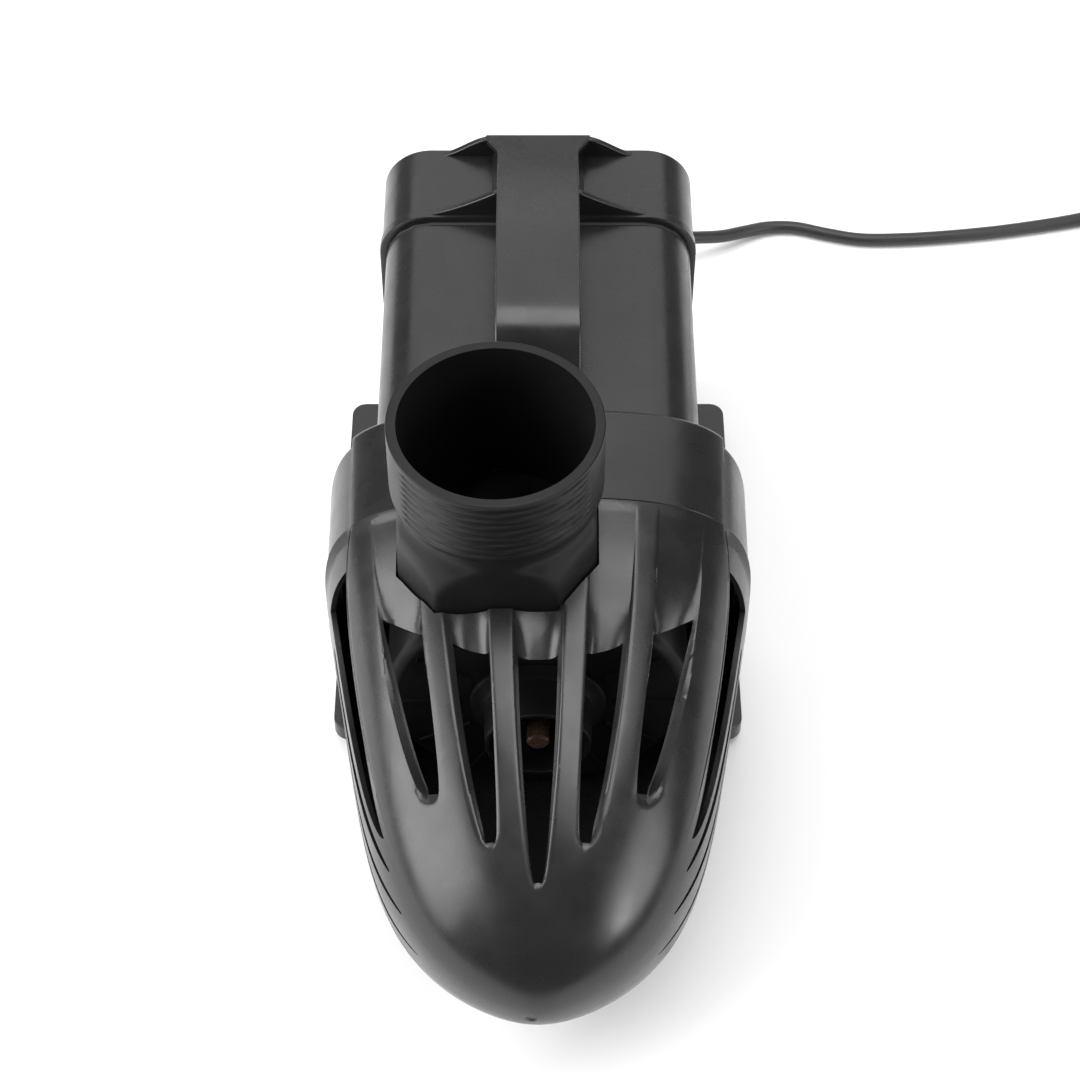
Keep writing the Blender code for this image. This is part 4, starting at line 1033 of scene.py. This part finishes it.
def make_shroud():
    """The plain band behind the seam, with the hood's ledge running on."""
    wall = 3 * MM
    rear = SHROUD_REAR_Y
    edge = ledge_angle(CAGE_FRONT_Y)
    foot = edge + LEDGE_DROP_ANGLE
    spans = ((0.0, 45.0, 30), (45.0, edge, 14), (edge, foot, 6), (foot, 90.0, 18),
             (90.0, 180.0, 48))
    angles = [a for start, end, count in spans for a in spaced(start, end, count, "none")]

    def ring(y, inset):
        half_w, half_h, centre_z, top_q, bottom_q = shroud_shape(y)
        size = (half_w - inset, half_h - inset, top_q, bottom_q)

        def point(angle, side):
            depth = ledge_recess(angle, SEAM_Y, size)
            if angle < ledge_angle(SEAM_Y):
                off = math.radians(ledge_angle(SEAM_Y) - angle) * HALF_WIDTH
                depth += rounded_edge(off, LEDGE_EDGE_DEPTH)
            return surface_point(angle, side, y, centre_z, size, depth)
        return mirrored(point, angles)

    def opening(y):
        size = (HOUSING_HALF[0] + 0.5 * MM, HOUSING_HALF[1] + 0.5 * MM, 9.0, 9.0)
        return mirrored(lambda a, side: surface_point(a, side, y, HOUSING_Z, size), angles)

    rounding = 4 * MM
    rings = [ring(SEAM_Y + 0.4 * MM, 0.0), ring(SEAM_Y, 0.4 * MM), ring(SEAM_Y, wall),
             ring(rear - wall - rounding, wall), ring(rear - wall, wall + rounding / 2),
             opening(rear - wall), opening(rear)]
    outer = []
    for i in range(9):
        a = math.radians(90 * i / 8)
        outer.append(ring(rear - rounding + rounding * math.sin(a),
                          rounding * (1 - math.cos(a))))
    rings += outer[::-1]
    rings += [ring(SEAM_Y + (rear - rounding - SEAM_Y) * t, 0.0) for t in (0.8, 0.6, 0.4, 0.2)]
    shroud = loft("shroud_band", rings, loop=True)
    slot_half = STRAP_HALF_WIDTH + 0.6 * MM
    strap_slot = box("strap_slot", (-slot_half, 33 * MM, 160.3 * MM),
                     (slot_half, 50 * MM, 165.4 * MM))
    combine(shroud, [duct_cutter(1.0 * MM), strap_slot], "DIFFERENCE")
    return piece(shroud, "shell_black", PUMP, "rear_shroud", angle=38.0)


# ------------------------------------------------------------------- wet end
NECK_SLOPE = 0.36                           # how fast the cone widens downwards
FACET_BLEND = 2.0 * MM                      # rounding where it meets the square
THREAD_PITCH = 3.85 * MM
THREAD_DEPTH = 1.0 * MM
PIPE_STEPS = 160                            # points round a ring of the discharge
PIPE_STEP, THREAD_STEP = 1.0 * MM, 0.34 * MM            # heights between its rings
SHAPED_BOTTOM_Z = 150 * MM                  # the duct shows its shape from here up
FLARE_HEIGHT = 4.0 * MM                     # of the step from the neck to the thread
RIM_ROUNDING = 0.8 * MM


def duct_radius(angle, z):
    """The discharge's outside below the neck: a square met by a cone."""
    c, s = abs(math.cos(angle)), abs(math.sin(angle))
    cut_x, cut_y = DUCT_CHAMFER
    corner = cut_x * cut_y / (cut_y * c + cut_x * s)
    corner *= (DUCT_HALF - cut_x) / cut_x + DUCT_HALF / cut_y
    square = min(DUCT_HALF / max(c, s), corner)
    cone = NECK_R + NECK_SLOPE * max(0.0, NECK_Z - z)
    near = max(0.0, FACET_BLEND - abs(square - cone)) / FACET_BLEND
    facet = min(square, cone) - near * near * FACET_BLEND / 4
    return facet + (NECK_R - facet) * smooth_step(NECK_Z - 8 * MM, NECK_Z, z)


def thread_radius(angle, z):
    """The threaded sleeve: helical grooves in front and behind, plain sides."""
    turn = (angle / (2 * math.pi)) % 1.0
    place = ((RIM_Z - 0.4 * MM - z) / THREAD_PITCH + turn) % 1.0
    groove = smooth_step(0.62, 0.12, abs(place - 0.5) * 2)
    plain = abs(math.cos(angle))                      # 1 on the sleeve's two sides
    front = smooth_step(0.86, 0.78, plain)
    ends = smooth_step(RIM_Z - 0.6 * MM, RIM_Z - 1.6 * MM, z)
    ends *= smooth_step(THREAD_BOTTOM_Z, THREAD_BOTTOM_Z + 2.0 * MM, z)
    return OUTLET_R - THREAD_DEPTH * groove * front * ends


def pipe_ring(z, radius_at):
    """A ring of the discharge at a height."""
    ring = []
    for i in range(PIPE_STEPS):
        angle = 2 * math.pi * (i + 0.5) / PIPE_STEPS
        radius = radius_at(angle, z)
        ring.append((OUTLET_X + radius * math.cos(angle), OUTLET_Y + radius * math.sin(angle), z))
    return ring


def pipe_rings():
    """Every ring of the discharge from inside the drum up to the flat rim."""
    rings = [pipe_ring(z, duct_radius) for z in (DUCT_BOTTOM_Z, 140 * MM)]
    shaped = round((NECK_Z + 2.0 * MM - SHAPED_BOTTOM_Z) / PIPE_STEP)
    rings += [pipe_ring(SHAPED_BOTTOM_Z + i * PIPE_STEP, duct_radius) for i in range(shaped + 1)]
    flare = THREAD_BOTTOM_Z - FLARE_HEIGHT
    for t in (0.0, 0.3, 0.6, 0.85, 1.0):
        radius = NECK_R + (OUTLET_R - NECK_R) * math.sin(t * math.pi / 2)
        rings.append(pipe_ring(flare + FLARE_HEIGHT * t * t, lambda a, h, r=radius: r))
    length = RIM_Z - RIM_ROUNDING - THREAD_BOTTOM_Z
    samples = round(length / THREAD_STEP)
    for i in range(1, samples + 1):
        rings.append(pipe_ring(THREAD_BOTTOM_Z + length * i / samples, thread_radius))
    for rise, inset in ((0.5, 0.15), (0.75, 0.5), (0.8, 0.9)):
        rings.append(pipe_ring(RIM_Z - RIM_ROUNDING + rise * MM,
                               lambda a, h, r=OUTLET_R - inset * MM: r))
    return rings


def make_volute():
    """Drum, faceted duct and threaded outlet on the bolted flange."""
    half_w, half_h = FLANGE_HALF
    flange = loft("volute_moulding", [
        rounded_rect(STACK_Y - back * MM, half_w - inset * MM, half_h - inset * MM, MOTOR_Z,
                     FLANGE_CORNER)
        for back, inset in ((8.0, 0.6), (7.4, 0.0), (0.6, 0.0), (0.0, 0.6))])
    drum = turned("drum", [(0.0, DRUM_FRONT_Y), (DRUM_R - 5 * MM, DRUM_FRONT_Y),
                           (DRUM_R - 2.5 * MM, DRUM_FRONT_Y + 0.7 * MM),
                           (DRUM_R - 0.7 * MM, DRUM_FRONT_Y + 2.5 * MM),
                           (DRUM_R, DRUM_FRONT_Y + 5 * MM), (DRUM_R, STACK_Y - 2 * MM),
                           (0.0, STACK_Y - 2 * MM)], MOTOR_AXIS, steps=96)
    ribs = []
    for i in range(DRUM_RIBS):
        rib = box("drum_rib", (34 * MM, DRUM_FRONT_Y - 1.2 * MM, -1.0 * MM),
                  (60 * MM, DRUM_FRONT_Y + 1 * MM, 1.0 * MM))
        rib.matrix_world = (Matrix.Translation(MOTOR_AXIS)
                            @ Matrix.Rotation(2 * math.pi * i / DRUM_RIBS, 4, "Y"))
        ribs.append(rib)
    duct = loft("duct", pipe_rings())
    combine(flange, [drum, duct] + ribs, "UNION")
    cavity = cylinder("cavity", DRUM_R - VOLUTE_WALL, DRUM_FRONT_Y + VOLUTE_WALL,
                      STACK_Y + 10 * MM, MOTOR_AXIS, steps=96)
    bore = cylinder("bore", OUTLET_BORE_R + 0.7 * MM, DUCT_BOTTOM_Z + VOLUTE_WALL,
                    RIM_Z + 10 * MM, (OUTLET_X, OUTLET_Y, 0.0), "Z", 128)
    inlet = cylinder("inlet", SUCTION_R + 4 * MM, DRUM_FRONT_Y - 10 * MM,
                     DRUM_FRONT_Y + 20 * MM, MOTOR_AXIS, steps=64)
    holes = [cylinder("hole", 2.8 * MM, -20 * MM, 40 * MM, (x, 0.0, MOTOR_Z + z), steps=24)
             for x, z in four_places(*VOLUTE_SCREW)]
    combine(flange, [cavity, bore, inlet] + holes, "DIFFERENCE")
    return piece(flange, "volute_black", PUMP, "volute_casing",
                 angle=30.0)


def make_suction_ring():
    """The flared collar at the impeller's eye."""
    front, wall = SUCTION_FRONT_Y, DRUM_FRONT_Y
    lip_r = 1.2 * MM
    lip = []
    for i in range(9):
        a = math.pi * i / 8
        lip.append((SUCTION_R + lip_r + lip_r * math.cos(a), front + lip_r - lip_r * math.sin(a)))
    profile = ([(SUCTION_R + 3.6 * MM, wall + 3 * MM), (SUCTION_R + 3.6 * MM, wall - GAP),
                (SUCTION_R + 9 * MM, wall - GAP), (SUCTION_R + 9 * MM, wall - 2.2 * MM),
                (SUCTION_R + 8 * MM, wall - 3 * MM), (SUCTION_R + 5 * MM, wall - 3.8 * MM),
                (SUCTION_R + 3 * MM, wall - 5.6 * MM)] + lip + [(SUCTION_R, wall + 3 * MM)])
    ring = turned("suction_collar", profile, MOTOR_AXIS, steps=96, loop=True)
    return piece(ring, "volute_black", PUMP, "suction_ring")


def vane_outline(inner, outer, sweep, thick, steps=18):
    """A backward-curved vane in plan, thinner towards its trailing edge."""
    left, right = [], []
    for i in range(steps + 1):
        t = i / steps
        radius = inner + (outer - inner) * t
        angle = math.radians(sweep) * t ** 1.3
        half = thick * (1.0 - 0.35 * t) / (2 * radius)
        left.append((radius * math.cos(angle - half), radius * math.sin(angle - half)))
        right.append((radius * math.cos(angle + half), radius * math.sin(angle + half)))
    return left + right[::-1]


VANES = 6


def make_impeller():
    """Semi-open impeller: curved hub, back disc and six swept vanes."""
    low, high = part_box("impeller")
    front, back = low.y, high.y
    profile = [(54 * MM, back - 0.6 * MM), (53.4 * MM, back - 4 * MM)]
    for i in range(13):
        t = i / 12
        profile.append(((50 - 38.8 * math.sin(t * math.pi / 2) ** 0.7) * MM,
                        back - 4 * MM - 26 * MM * (1 - math.cos(t * math.pi / 2))))
    profile += [(9.8 * MM, front + 0.6 * MM), (9.2 * MM, front), (ROTOR_BORE_R, front),
                (ROTOR_BORE_R, back), (53.4 * MM, back)]
    hub = turned("impeller_body", profile, MOTOR_AXIS, steps=96, loop=True)
    depth = 36 * MM
    turn = Matrix.Rotation(math.radians(-90), 4, "X")
    place = Matrix.Translation((0.0, back - 3 * MM - depth / 2, MOTOR_Z)) @ turn
    vanes = []
    for i in range(VANES):
        spin = Matrix.Rotation(2 * math.pi * i / VANES, 4, "Z")
        vane = extruded("vane", vane_outline(12.5 * MM, 52.5 * MM, 55.0, 3.2 * MM), depth,
                        place @ spin)
        vanes.append(soften(vane, 0.5 * MM, 60.0, 2))
    combine(hub, vanes, "UNION")
    return piece(hub, "volute_black", ROTOR, "impeller")


def make_shaft():
    """The ceramic shaft, chamfered at both ends."""
    y0, y1 = shaft_low.y, shaft_high.y
    radius = 5.0 * MM
    shaft = turned("shaft_ground", [(0.0, y0), (radius - 1 * MM, y0), (radius, y0 + 1 * MM),
                                    (radius, y1 - 0.7 * MM), (radius - 0.7 * MM, y1), (0.0, y1)],
                   MOTOR_AXIS, steps=64)
    piece(shaft, "shaft_ceramic", ROTOR, "rotor_shaft")


def make_magnet():
    """The magnet sleeve, with two grooves round it and a recess in its rear end."""
    low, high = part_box("magnet_rotor")
    outer, bore = 22.5 * MM, ROTOR_BORE_R
    profile = [(outer - 1 * MM, low.y), (outer, low.y + 1 * MM)]
    for y in (low.y + 8 * MM, high.y - 9 * MM):
        profile += [(outer, y), (outer - 0.8 * MM, y + 0.2 * MM),
                    (outer - 0.8 * MM, y + 1 * MM), (outer, y + 1.2 * MM)]
    profile += [(outer, high.y - 1 * MM), (outer - 1 * MM, high.y), (bore + 4 * MM, high.y),
                (bore + 3.4 * MM, high.y - 1.4 * MM), (bore, high.y - 1.4 * MM), (bore, low.y)]
    magnet = turned("magnet_sleeve", profile, MOTOR_AXIS, steps=96, loop=True)
    piece(magnet, "rotor_magnet", ROTOR, "magnet_rotor")


def make_impeller_nut():
    """The hexagon nut that holds the impeller on its shaft."""
    low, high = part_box("impeller_nut")
    nut = cylinder("hex_nut", 8.5 * MM, low.y, high.y, MOTOR_AXIS, steps=6)
    soften(nut, 0.5 * MM, 30.0, 2)
    apply_modifiers(nut)
    bore = cylinder("nut_bore", ROTOR_BORE_R, low.y - 10 * MM, high.y + 10 * MM, MOTOR_AXIS,
                    steps=48)
    combine(nut, [bore], "DIFFERENCE")
    piece(nut, "screw_steel", ROTOR, "impeller_nut")


# --------------------------------------------------------------------- motor
def signed_power(value, exponent):
    """|value| to a power, with the sign of value."""
    return math.copysign(abs(value) ** exponent, value)


def make_stator_core():
    """The laminated core, sheet by sheet."""
    low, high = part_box("stator_core")
    outer, inner = 58 * MM, 25.8 * MM
    profile = [(inner, high.y), (inner, low.y)]
    sheets = 36
    pitch = (high.y - low.y) / sheets
    for i in range(sheets):
        y = low.y + i * pitch
        profile += [(outer - 0.25 * MM, y), (outer, y + 0.2 * pitch), (outer, y + 0.8 * pitch),
                    (outer - 0.25 * MM, y + 0.98 * pitch)]
    core = turned("stator_laminations", profile, MOTOR_AXIS, steps=64, loop=True)
    piece(core, "stator_iron", PUMP, "stator_core")


def make_winding(node):
    """A ring of wound wire, its strands showing all round."""
    low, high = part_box(node)
    middle_r, middle_y = 40.5 * MM, (low.y + high.y) / 2
    half_r, half_y = 11.3 * MM, (high.y - low.y) / 2 - 0.2 * MM
    squareness = 0.7
    profile = []
    strands = 36
    samples = strands * 4
    for i in range(samples):
        a = -2 * math.pi * i / samples
        bulge = 1.0 - 0.035 * (0.5 + 0.5 * math.cos(strands * a))
        profile.append((middle_r + half_r * bulge * signed_power(math.cos(a), squareness),
                        middle_y + half_y * bulge * signed_power(math.sin(a), squareness)))
    wire = turned(node + "_wire", profile, MOTOR_AXIS, steps=72, loop=True)
    piece(wire, "winding_copper", PUMP, node)


def make_housing():
    """The smooth rounded-square tube of the motor."""
    half_w, half_h = HOUSING_HALF
    front, rear, wall = housing_low.y, housing_high.y, 3 * MM
    sections = ((front + 0.8 * MM, 0.0), (front, 0.8 * MM), (front, 14 * MM),
                (front + 4 * MM, 14 * MM), (front + 4 * MM, wall), (rear, wall),
                (rear - 0.5 * MM, 0.0), ((front + rear) / 2, 0.0))
    rings = [rounded_rect(y, half_w - inset, half_h - inset, HOUSING_Z,
                          HOUSING_CORNER - min(inset, 8 * MM), 16) for y, inset in sections]
    housing = loft("housing_tube", rings, loop=True)
    bosses = []
    for x, z in four_places(*CAP_SCREW):
        bosses.append(cylinder("boss", 8 * MM, rear - 30 * MM, rear - 0.5 * MM,
                               (x, 0.0, HOUSING_Z + z), steps=32))
    for sx in (-1, 1):
        bosses.append(cylinder("foot", 8 * MM, base_high.z + GAP, 30 * MM,
                               (sx * BASE_SCREW_X, BASE_SCREW_ROWS[1], 0.0), "Z", 32))
    combine(housing, bosses, "UNION")
    return piece(housing, "shell_black", PUMP, "motor_housing")


# The strap's middle line from the cap's rear to its foot, as in the CAD.
STRAP_LINE = (
    (0.2085, 0.1700), (0.1950, 0.1732), (0.1700, 0.1780), (0.1400, 0.1818),
    (0.1100, 0.1830), (0.0880, 0.1828), (0.0790, 0.1812), (0.0725, 0.1775),
    (0.0650, 0.1700), (0.0600, 0.1655), (0.0540, 0.1632), (0.0460, 0.1628),
    (0.0235, 0.1628),
)
FIN_THICKNESS = 3.2 * MM
STRAP_FLARE = 6.0 * MM                      # widening of the strap's rear end
FLARE_START_Y, FLARE_END_Y = 193.0 * MM, 208.5 * MM


def make_strap():
    """The flat handle: a band with rounded edges that follows its line."""
    line = smooth_line([(0.0, y, z) for y, z in STRAP_LINE], 5)
    half_w, half_t, corner = STRAP_HALF_WIDTH, 1.8 * MM, 0.9 * MM
    rings = []
    for i, place in enumerate(line):
        ahead = line[min(i + 1, len(line) - 1)] - line[max(i - 1, 0)]
        up = Vector((0.0, ahead.z, -ahead.y)).normalized()
        flare = STRAP_FLARE * smooth_step(FLARE_START_Y, FLARE_END_Y, place.y)
        ring = []
        for x, _, v in rounded_rect(0.0, half_w + flare, half_t, 0.0, corner, 4):
            ring.append(Vector((x, place.y, place.z)) + up * v)
        rings.append(ring)
    return loft("strap", rings)


def fin_outline(reach, shoulder, top, foot, curve):
    """A fin that sweeps up from the cap to a shoulder, in front view.

    A curve of 0 is an S with a rounded shoulder; else it is a power.
    """
    steps = 20
    right = []
    for i in range(steps + 1):
        t = i / steps
        rise = t ** curve if curve else 0.5 * t + 0.5 * smooth_step(0.0, 1.0, t)
        right.append((reach + (shoulder - reach) * t, foot + (top - foot) * rise))
    base = foot - 1.5 * MM
    return [(reach, base)] + right + [(-x, z) for x, z in right[::-1]] + [(-reach, base)]


def make_fins(front, rear, top):
    """The block under the strap and the two fins that carry it, on the cap's top."""
    front_fin = fin_outline(57 * MM, STRAP_HALF_WIDTH, top + 15 * MM, top, 1.5)
    rear_fin = fin_outline(45 * MM, STRAP_HALF_WIDTH + STRAP_FLARE, top + 10 * MM, top, 0)
    wide, narrow = STRAP_HALF_WIDTH + 3 * MM, STRAP_HALF_WIDTH - 1 * MM
    block = loft("strap_block", [
        [(wide, y, top - 1 * MM), (narrow, y, top + rise), (-narrow, y, top + rise),
         (-wide, y, top - 1 * MM)]
        for y, rise in ((front + 4 * MM, 16.0 * MM), (rear - 6 * MM, 9.0 * MM))])
    parts = [block, extruded("front_fin", front_fin, FIN_THICKNESS, upright(front + 3.5 * MM)),
             extruded("rear_fin", rear_fin, FIN_THICKNESS, upright(rear - 5.0 * MM))]
    for part in parts:
        soften(part, 0.7 * MM, 50.0, 3)
    return parts


def make_cap():
    """The end cap: cup with a lip, sweeping fins, strap handle, screw seats."""
    half_w, half_h = CAP_HALF
    front, rear = CAP_FRONT_Y, cap_high.y

    def ring(y, inset):
        return rounded_rect(y, half_w - inset * MM, half_h - inset * MM, HOUSING_Z,
                            CAP_CORNER - inset * MM, 16)
    lip = ((0.0, 3.0), (0.0, 0.2), (0.5, -0.9), (4.6, -1.0), (5.0, -0.8), (5.1, 0.0))
    rings = [ring(front + rise * MM, inset) for rise, inset in lip]
    rounding = 4.0
    for i in range(9):
        a = math.radians(90 * i / 8)
        rings.append(ring(rear - rounding * (1 - math.sin(a)) * MM,
                          rounding * (1 - math.cos(a))))
    rear_panel = ((0.0, 7.0), (0.0, 14.0), (-0.8, 15.0), (-0.8, 20.0), (-4.0, 20.0), (-4.0, 3.0))
    rings += [ring(rear + rise * MM, inset) for rise, inset in rear_panel]
    cup = loft("cap_cup", rings, loop=True)
    plate = box("back_plate", (-56 * MM, rear - 4 * MM, HOUSING_Z - 54 * MM),
                (56 * MM, rear - 0.8 * MM, HOUSING_Z + 54 * MM))
    bosses = [cylinder("boss", 8 * MM, front + 0.6 * MM, rear - 2 * MM, (x, 0.0, HOUSING_Z + z))
              for x, z in four_places(*CAP_SCREW)]
    combine(cup, [plate] + bosses, "UNION")
    seats = [cylinder("seat", 5.8 * MM, rear - 6 * MM, rear + 10 * MM, (x, 0.0, HOUSING_Z + z))
             for x, z in four_places(*CAP_SCREW)]
    gland_x, gland_z = (gland_low.x + gland_high.x) / 2, (gland_low.z + gland_high.z) / 2
    seats.append(cylinder("cord_hole", 6 * MM, rear - 10 * MM, rear + 10 * MM,
                          (gland_x, 0.0, gland_z)))
    combine(cup, seats, "DIFFERENCE")
    fins_and_block = make_fins(front, rear, HOUSING_Z + half_h)
    cap = merged("cap_with_handle", [cup, make_strap()] + fins_and_block)
    return piece(cap, "shell_black", PUMP, "rear_cap")


# -------------------------------------------------- base, feet and fasteners
FEET = ("foot_left_front", "foot_left_rear", "foot_right_front", "foot_right_rear")


def make_base():
    """The flat foot, with softened edges, screw seats and pad recesses."""
    low, high = base_low, base_high
    half_w, corner = high.x, 7 * MM

    def ring(z, inset):
        length = (high.y - low.y) / 2
        flat = rounded_rect(0.0, half_w - inset, length - inset, 0.0, corner - inset, 8)
        return [(x, (low.y + high.y) / 2 + v, z) for x, _, v in flat]
    rings = [ring(low.z, 0.8 * MM), ring(low.z + 0.3 * MM, 0.2 * MM), ring(low.z + 0.8 * MM, 0.0),
             ring(high.z - 0.8 * MM, 0.0), ring(high.z - 0.3 * MM, 0.2 * MM),
             ring(high.z, 0.8 * MM)]
    base = loft("base_moulding", rings)
    cutters = []
    for y in BASE_SCREW_ROWS:
        for sx in (-1, 1):
            at = (sx * BASE_SCREW_X, y, 0.0)
            cutters.append(cylinder("hole", 2.4 * MM, 0.0, 20 * MM, at, "Z"))
            cutters.append(cylinder("seat", 5.5 * MM, -1 * MM, 9 * MM, at, "Z"))
    for node in FEET:
        f_low, f_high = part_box(node)
        middle = (f_low + f_high) / 2
        cutters.append(cylinder("recess", (f_high.x - f_low.x) / 2 + GAP, -1 * MM, 7 * MM,
                                middle, "Z", 48))
    pockets = 4
    for k in range(pockets):
        y = low.y + (high.y - low.y) * (0.34 + 0.115 * k)
        cutters.append(box("pocket", (-32 * MM, y, low.z - 1 * MM),
                           (32 * MM, y + 16 * MM, low.z + 5 * MM)))
    combine(base, cutters, "DIFFERENCE")
    return piece(base, "shell_black", PUMP, "base_plate")


def make_foot(node):
    """A rubber pad with two grooves turned into its sole."""
    low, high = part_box(node)
    x, y = (low.x + high.x) / 2, (low.y + high.y) / 2
    radius = (high.x - low.x) / 2
    profile = [(0.0, high.z), (radius, high.z), (radius, 1.0 * MM), (radius - 0.4 * MM, 0.2 * MM),
               (radius - 1.2 * MM, 0.0)]
    for groove_r in (8.2 * MM, 4.6 * MM):
        profile += [(groove_r, 0.0), (groove_r - 0.3 * MM, 0.7 * MM),
                    (groove_r - 1.1 * MM, 0.7 * MM), (groove_r - 1.4 * MM, 0.0)]
    profile.append((0.0, 0.0))
    pad = turned(node + "_pad", profile, (x, y, 0.0), "Z", 48)
    return piece(pad, "seal_rubber", PUMP, node)


def make_screw(node, matrix, head_r, head_h, shank_r, shank_length):
    """A cross-recess pan-head screw with a ridged shank; it drives along -Z."""
    profile = [(0.0, head_h), (head_r * 0.45, head_h), (head_r * 0.80, head_h * 0.86),
               (head_r * 0.96, head_h * 0.52), (head_r, head_h * 0.12), (head_r * 0.97, 0.0),
               (shank_r, 0.0)]
    ridges = max(4, round(shank_length / (1.5 * MM)))
    for i in range(ridges):
        z = -shank_length * (0.1 + 0.82 * i / ridges)
        profile += [(shank_r * 0.80, z), (shank_r, z - 0.3 * shank_length / ridges)]
    profile += [(shank_r * 0.78, -shank_length * 0.93), (0.0, -shank_length)]
    screw = turned(node + "_driven", profile, (0.0, 0.0, 0.0), "Z", 32)
    arms = []
    for size in ((0.62, 0.13), (0.13, 0.62)):
        arms.append(box("recess", (-size[0] * head_r, -size[1] * head_r, head_h * 0.35),
                        (size[0] * head_r, size[1] * head_r, head_h * 1.5)))
    combine(arms[0], arms[1:], "UNION")
    combine(screw, arms[:1], "DIFFERENCE")
    screw.data.transform(matrix)
    return piece(screw, "screw_steel", PUMP, node)


def make_screws():
    """Every fastener, where its CAD node is."""
    backward = Matrix.Rotation(math.radians(90), 4, "X")
    forward = Matrix.Rotation(math.radians(-90), 4, "X")
    downward = Matrix.Rotation(math.radians(180), 4, "X")
    upward = Matrix.Identity(4)
    kinds = (
        ("volute_screw", 4, backward, 4.5, 4.0, 2.5),
        ("cap_screw", 4, forward, 5.2, 4.0, 2.5),
        ("base_screw", 4, downward, 4.8, 3.5, 2.0),
        ("handle_screw", 2, upward, 4.2, 2.5, 1.9),
    )
    for kind, count, turn, head_r, head_h, shank_r in kinds:
        for i in range(1, count + 1):
            node = f"{kind}_{i}"
            low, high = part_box(node)
            drive = (turn @ Vector((0.0, 0.0, 1.0))).normalized()
            middle = (low + high) / 2
            length = abs((high - low).dot(drive))
            head_top = middle + drive * length / 2
            seat = head_top - drive * head_h * MM
            make_screw(node, Matrix.Translation(seat) @ turn, head_r * MM, head_h * MM,
                       shank_r * MM, length - head_h * MM)


# ------------------------------------------------------------ floor and light
def plain_surface(name, color, roughness):
    """A pale studio surface with a trace of unevenness."""
    material, tree, shader, place = start_material(name)
    tint(tree, shader, noise(tree, place, 3.0), color, tuple(c * 0.99 for c in color))
    shader.inputs["Roughness"].default_value = roughness
    return material


def make_floor():
    """A pale floor that curves up far behind the pump."""
    width, front, back, rise = 6.0, -4.0, 3.0, 2.0
    profile = [(front, 0.0), (0.0, 0.0), (back, 0.0)]
    for i in range(1, 13):
        a = math.radians(90 * i / 12)
        profile.append((back + math.sin(a), 1 - math.cos(a)))
    profile.append((back + 1.0, 1.0 + rise))
    verts = [(sx * width, y, z) for y, z in profile for sx in (-1, 1)]
    faces = [(2 * i, 2 * i + 1, 2 * i + 3, 2 * i + 2) for i in range(len(profile) - 1)]
    mesh = bpy.data.meshes.new("floor")
    mesh.from_pydata(verts, [], faces)
    floor = add_object("floor", mesh)
    mesh.materials.append(plain_surface("studio_paper", (0.93, 0.93, 0.93), 0.9))
    mesh.shade_smooth()


def area_light(name, place, size, power):
    """A soft box of (width, height) at a place, turned to face the pump."""
    data = bpy.data.lights.new(name, "AREA")
    data.shape = "RECTANGLE"
    data.size, data.size_y = size
    data.energy = power
    light = bpy.data.objects.new(name, data)
    light.location = place
    light.rotation_euler = (Vector(LIGHT_AIM) - Vector(place)).to_track_quat("-Z", "Y").to_euler()
    bpy.context.scene.collection.objects.link(light)


LIGHT_AIM = (0.0, 0.0, 0.08)
# Each soft box: name, place, width and height, watts.
SOFT_BOXES = (
    ("back_box", (0.0, 1.9, 1.9), (3.2, 1.8), 22.0),
    ("left_box", (-1.55, -0.35, 1.15), (1.7, 1.8), 62.0),
    ("right_box", (1.55, -0.72, 0.95), (1.0, 1.1), 15.0),
    ("nose_box", (1.10, -0.96, 0.74), (0.22, 0.45), 3.0),
    ("top_box", (0.25, 0.3, 2.4), (2.0, 1.2), 38.0),
)


def add_lights():
    """A bright room behind and beside the pump, and a dark one in front."""
    for soft_box in SOFT_BOXES:
        area_light(*soft_box)
    world = bpy.data.worlds.new("studio")
    world.use_nodes = True
    background = world.node_tree.nodes["Background"]
    background.inputs["Color"].default_value = (1.0, 1.0, 1.0, 1.0)
    background.inputs["Strength"].default_value = 0.12
    bpy.context.scene.world = world
    bpy.context.scene.view_settings.view_transform = "Standard"


# --------------------------------------------------------------------- build
add_camera()
finish_cad_nodes()
make_cord()
make_cage()
make_shroud()
make_volute()
make_suction_ring()
make_impeller()
make_shaft()
make_magnet()
make_impeller_nut()
make_stator_core()
for winding in ("front_winding", "rear_winding"):
    make_winding(winding)
make_housing()
make_cap()
make_base()
for foot in FEET:
    make_foot(foot)
make_screws()
make_floor()
add_lights()
